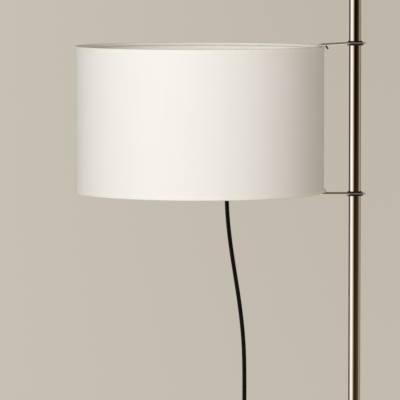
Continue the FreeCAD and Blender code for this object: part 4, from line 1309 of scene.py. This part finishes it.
def build_holder_thread():
    """The coarse thread on the lampholder's skirt."""
    low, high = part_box("holder_skirt")
    middle = (low + high) / 2
    select_only()
    bpy.ops.mesh.primitive_circle_add(
        vertices=12, radius=THREAD_THICKNESS / 2, rotation=(math.pi / 2, 0, 0),
        location=(THREAD_RADIUS, 0, low.z + THREAD_FROM))
    thread = added("holder_skirt_thread")
    bpy.ops.object.transform_apply(location=True, rotation=True, scale=True)
    thread.location = (middle.x, middle.y, 0.0)
    apply_modifier(thread, "SCREW", steps=64, render_steps=64, screw_offset=THREAD_PITCH,
                   iterations=THREAD_TURNS)
    with whole_mesh():
        bpy.ops.mesh.fill_holes(sides=12)
    face_outwards(thread)
    settle(thread, 50.0)
    finish_piece(thread, HEAD, "black_plastic")


def build_gland_screw():
    """The slotted screw in the cord gland's side."""
    low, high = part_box("cord_gland")
    middle = (low + high) / 2
    out = Vector((0.0, -1.0, 0.0))
    face = Vector((middle.x, low.y, middle.z - 1.5 * MM))
    head = face + out * SCREW_PROUD
    screw = rod("gland_screw", face - out * SCREW_DEPTH, head, SCREW_RADIUS, rounding=0.4 * MM)
    slot = block("gland_slot", SCREW_SLOT, head, 0.1 * MM)
    apply_modifier(screw, "BOOLEAN", object=slot)
    bpy.data.objects.remove(slot, do_unlink=True)
    settle(screw, 30.0)
    finish_piece(screw, HEAD, "zinc_steel")


class LAMP_OT_holder(bpy.types.Operator):
    """Finish the lampholder on its carrier, and the bulb; add the skirt's thread and a screw"""
    bl_idname = "lamp.holder"
    bl_label = "Lampholder and bulb"

    def execute(self, context):
        dress("holder_carrier", "holder_nut", "holder_nipple", "cord_gland", "holder_cap",
              "holder_skirt", "holder_core", "holder_thread", "holder_contact",
              "bulb_glass", "bulb_cap", "bulb_contact")
        build_holder_thread()
        build_gland_screw()
        return {"FINISHED"}


class LAMP_OT_switch(bpy.types.Operator):
    """Finish the foot switch"""
    bl_idname = "lamp.switch"
    bl_label = "Foot switch"

    def execute(self, context):
        dress("switch_base", "switch_cover", "switch_core", "switch_button",
              "switch_relief_in", "switch_relief_out")
        return {"FINISHED"}


def build_plug_grips():
    """Ribs for the fingers on both sides of the plug's rim."""
    low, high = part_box("plug_body")
    axis = (low + high) / 2
    radius = (high.y - low.y) / 2
    place = Vector((high.x - PLUG_RIB_FROM_BACK - PLUG_RIB_SIZE[0] / 2, axis.y, axis.z + radius))
    rib = block("plug_rib", PLUG_RIB_SIZE, place, 0.35 * MM)
    places = []
    for side in (-1, 1):
        for index in range(PLUG_RIBS_EACH_SIDE):
            turn = side * math.pi / 2 + (index - (PLUG_RIBS_EACH_SIDE - 1) / 2) * PLUG_RIB_SPACING
            places.append((turn, axis, (0.0, 0.0, 0.0)))
    grips = repeated("plug_grips", rib, places)
    settle(grips)
    finish_piece(grips, FLOOR_CORD, "black_plastic")


class LAMP_OT_plug(bpy.types.Operator):
    """Finish the mains plug and add its finger ribs"""
    bl_idname = "lamp.plug"
    bl_label = "Plug"

    def execute(self, context):
        dress("plug_body", "plug_pins", "plug_relief")
        build_plug_grips()
        return {"FINISHED"}


class LAMP_PT_pieces(bpy.types.Panel):
    """The lamp's pieces and their settings"""
    bl_label = "Floor lamp"
    bl_idname = "LAMP_PT_pieces"
    bl_space_type = "VIEW_3D"
    bl_region_type = "UI"
    bl_category = "Floor lamp"

    def draw(self, context):
        for operator in PIECE_OPERATORS:
            self.layout.operator(operator.bl_idname)
        for name in SETTINGS:
            box = self.layout.box()
            group = getattr(context.scene, name)
            for setting in group.__annotations__:
                box.prop(group, setting)


PIECE_OPERATORS = (
    LAMP_OT_studio, LAMP_OT_cord, LAMP_OT_shade, LAMP_OT_column, LAMP_OT_arms,
    LAMP_OT_holder, LAMP_OT_switch, LAMP_OT_plug,
)
SETTINGS = {
    "lamp_shade": LampShadeSettings,
    "lamp_cord": LampCordSettings,
    "lamp_metal": LampMetalSettings,
    "lamp_moulded": LampMouldedSettings,
    "lamp_studio": LampStudioSettings,
}


def register():
    for group in SETTINGS.values():
        bpy.utils.register_class(group)
    for name, group in SETTINGS.items():
        setattr(bpy.types.Scene, name, PointerProperty(type=group))
    for made in (*PIECE_OPERATORS, LAMP_PT_pieces):
        bpy.utils.register_class(made)


def unregister():
    for made in (LAMP_PT_pieces, *reversed(PIECE_OPERATORS)):
        bpy.utils.unregister_class(made)
    for name in SETTINGS:
        delattr(bpy.types.Scene, name)
    for group in reversed(SETTINGS.values()):
        bpy.utils.unregister_class(group)


def main():
    register()
    for operator in PIECE_OPERATORS:
        group, name = operator.bl_idname.split(".")
        getattr(getattr(bpy.ops, group), name)()


if __name__ == "__main__":
    main()
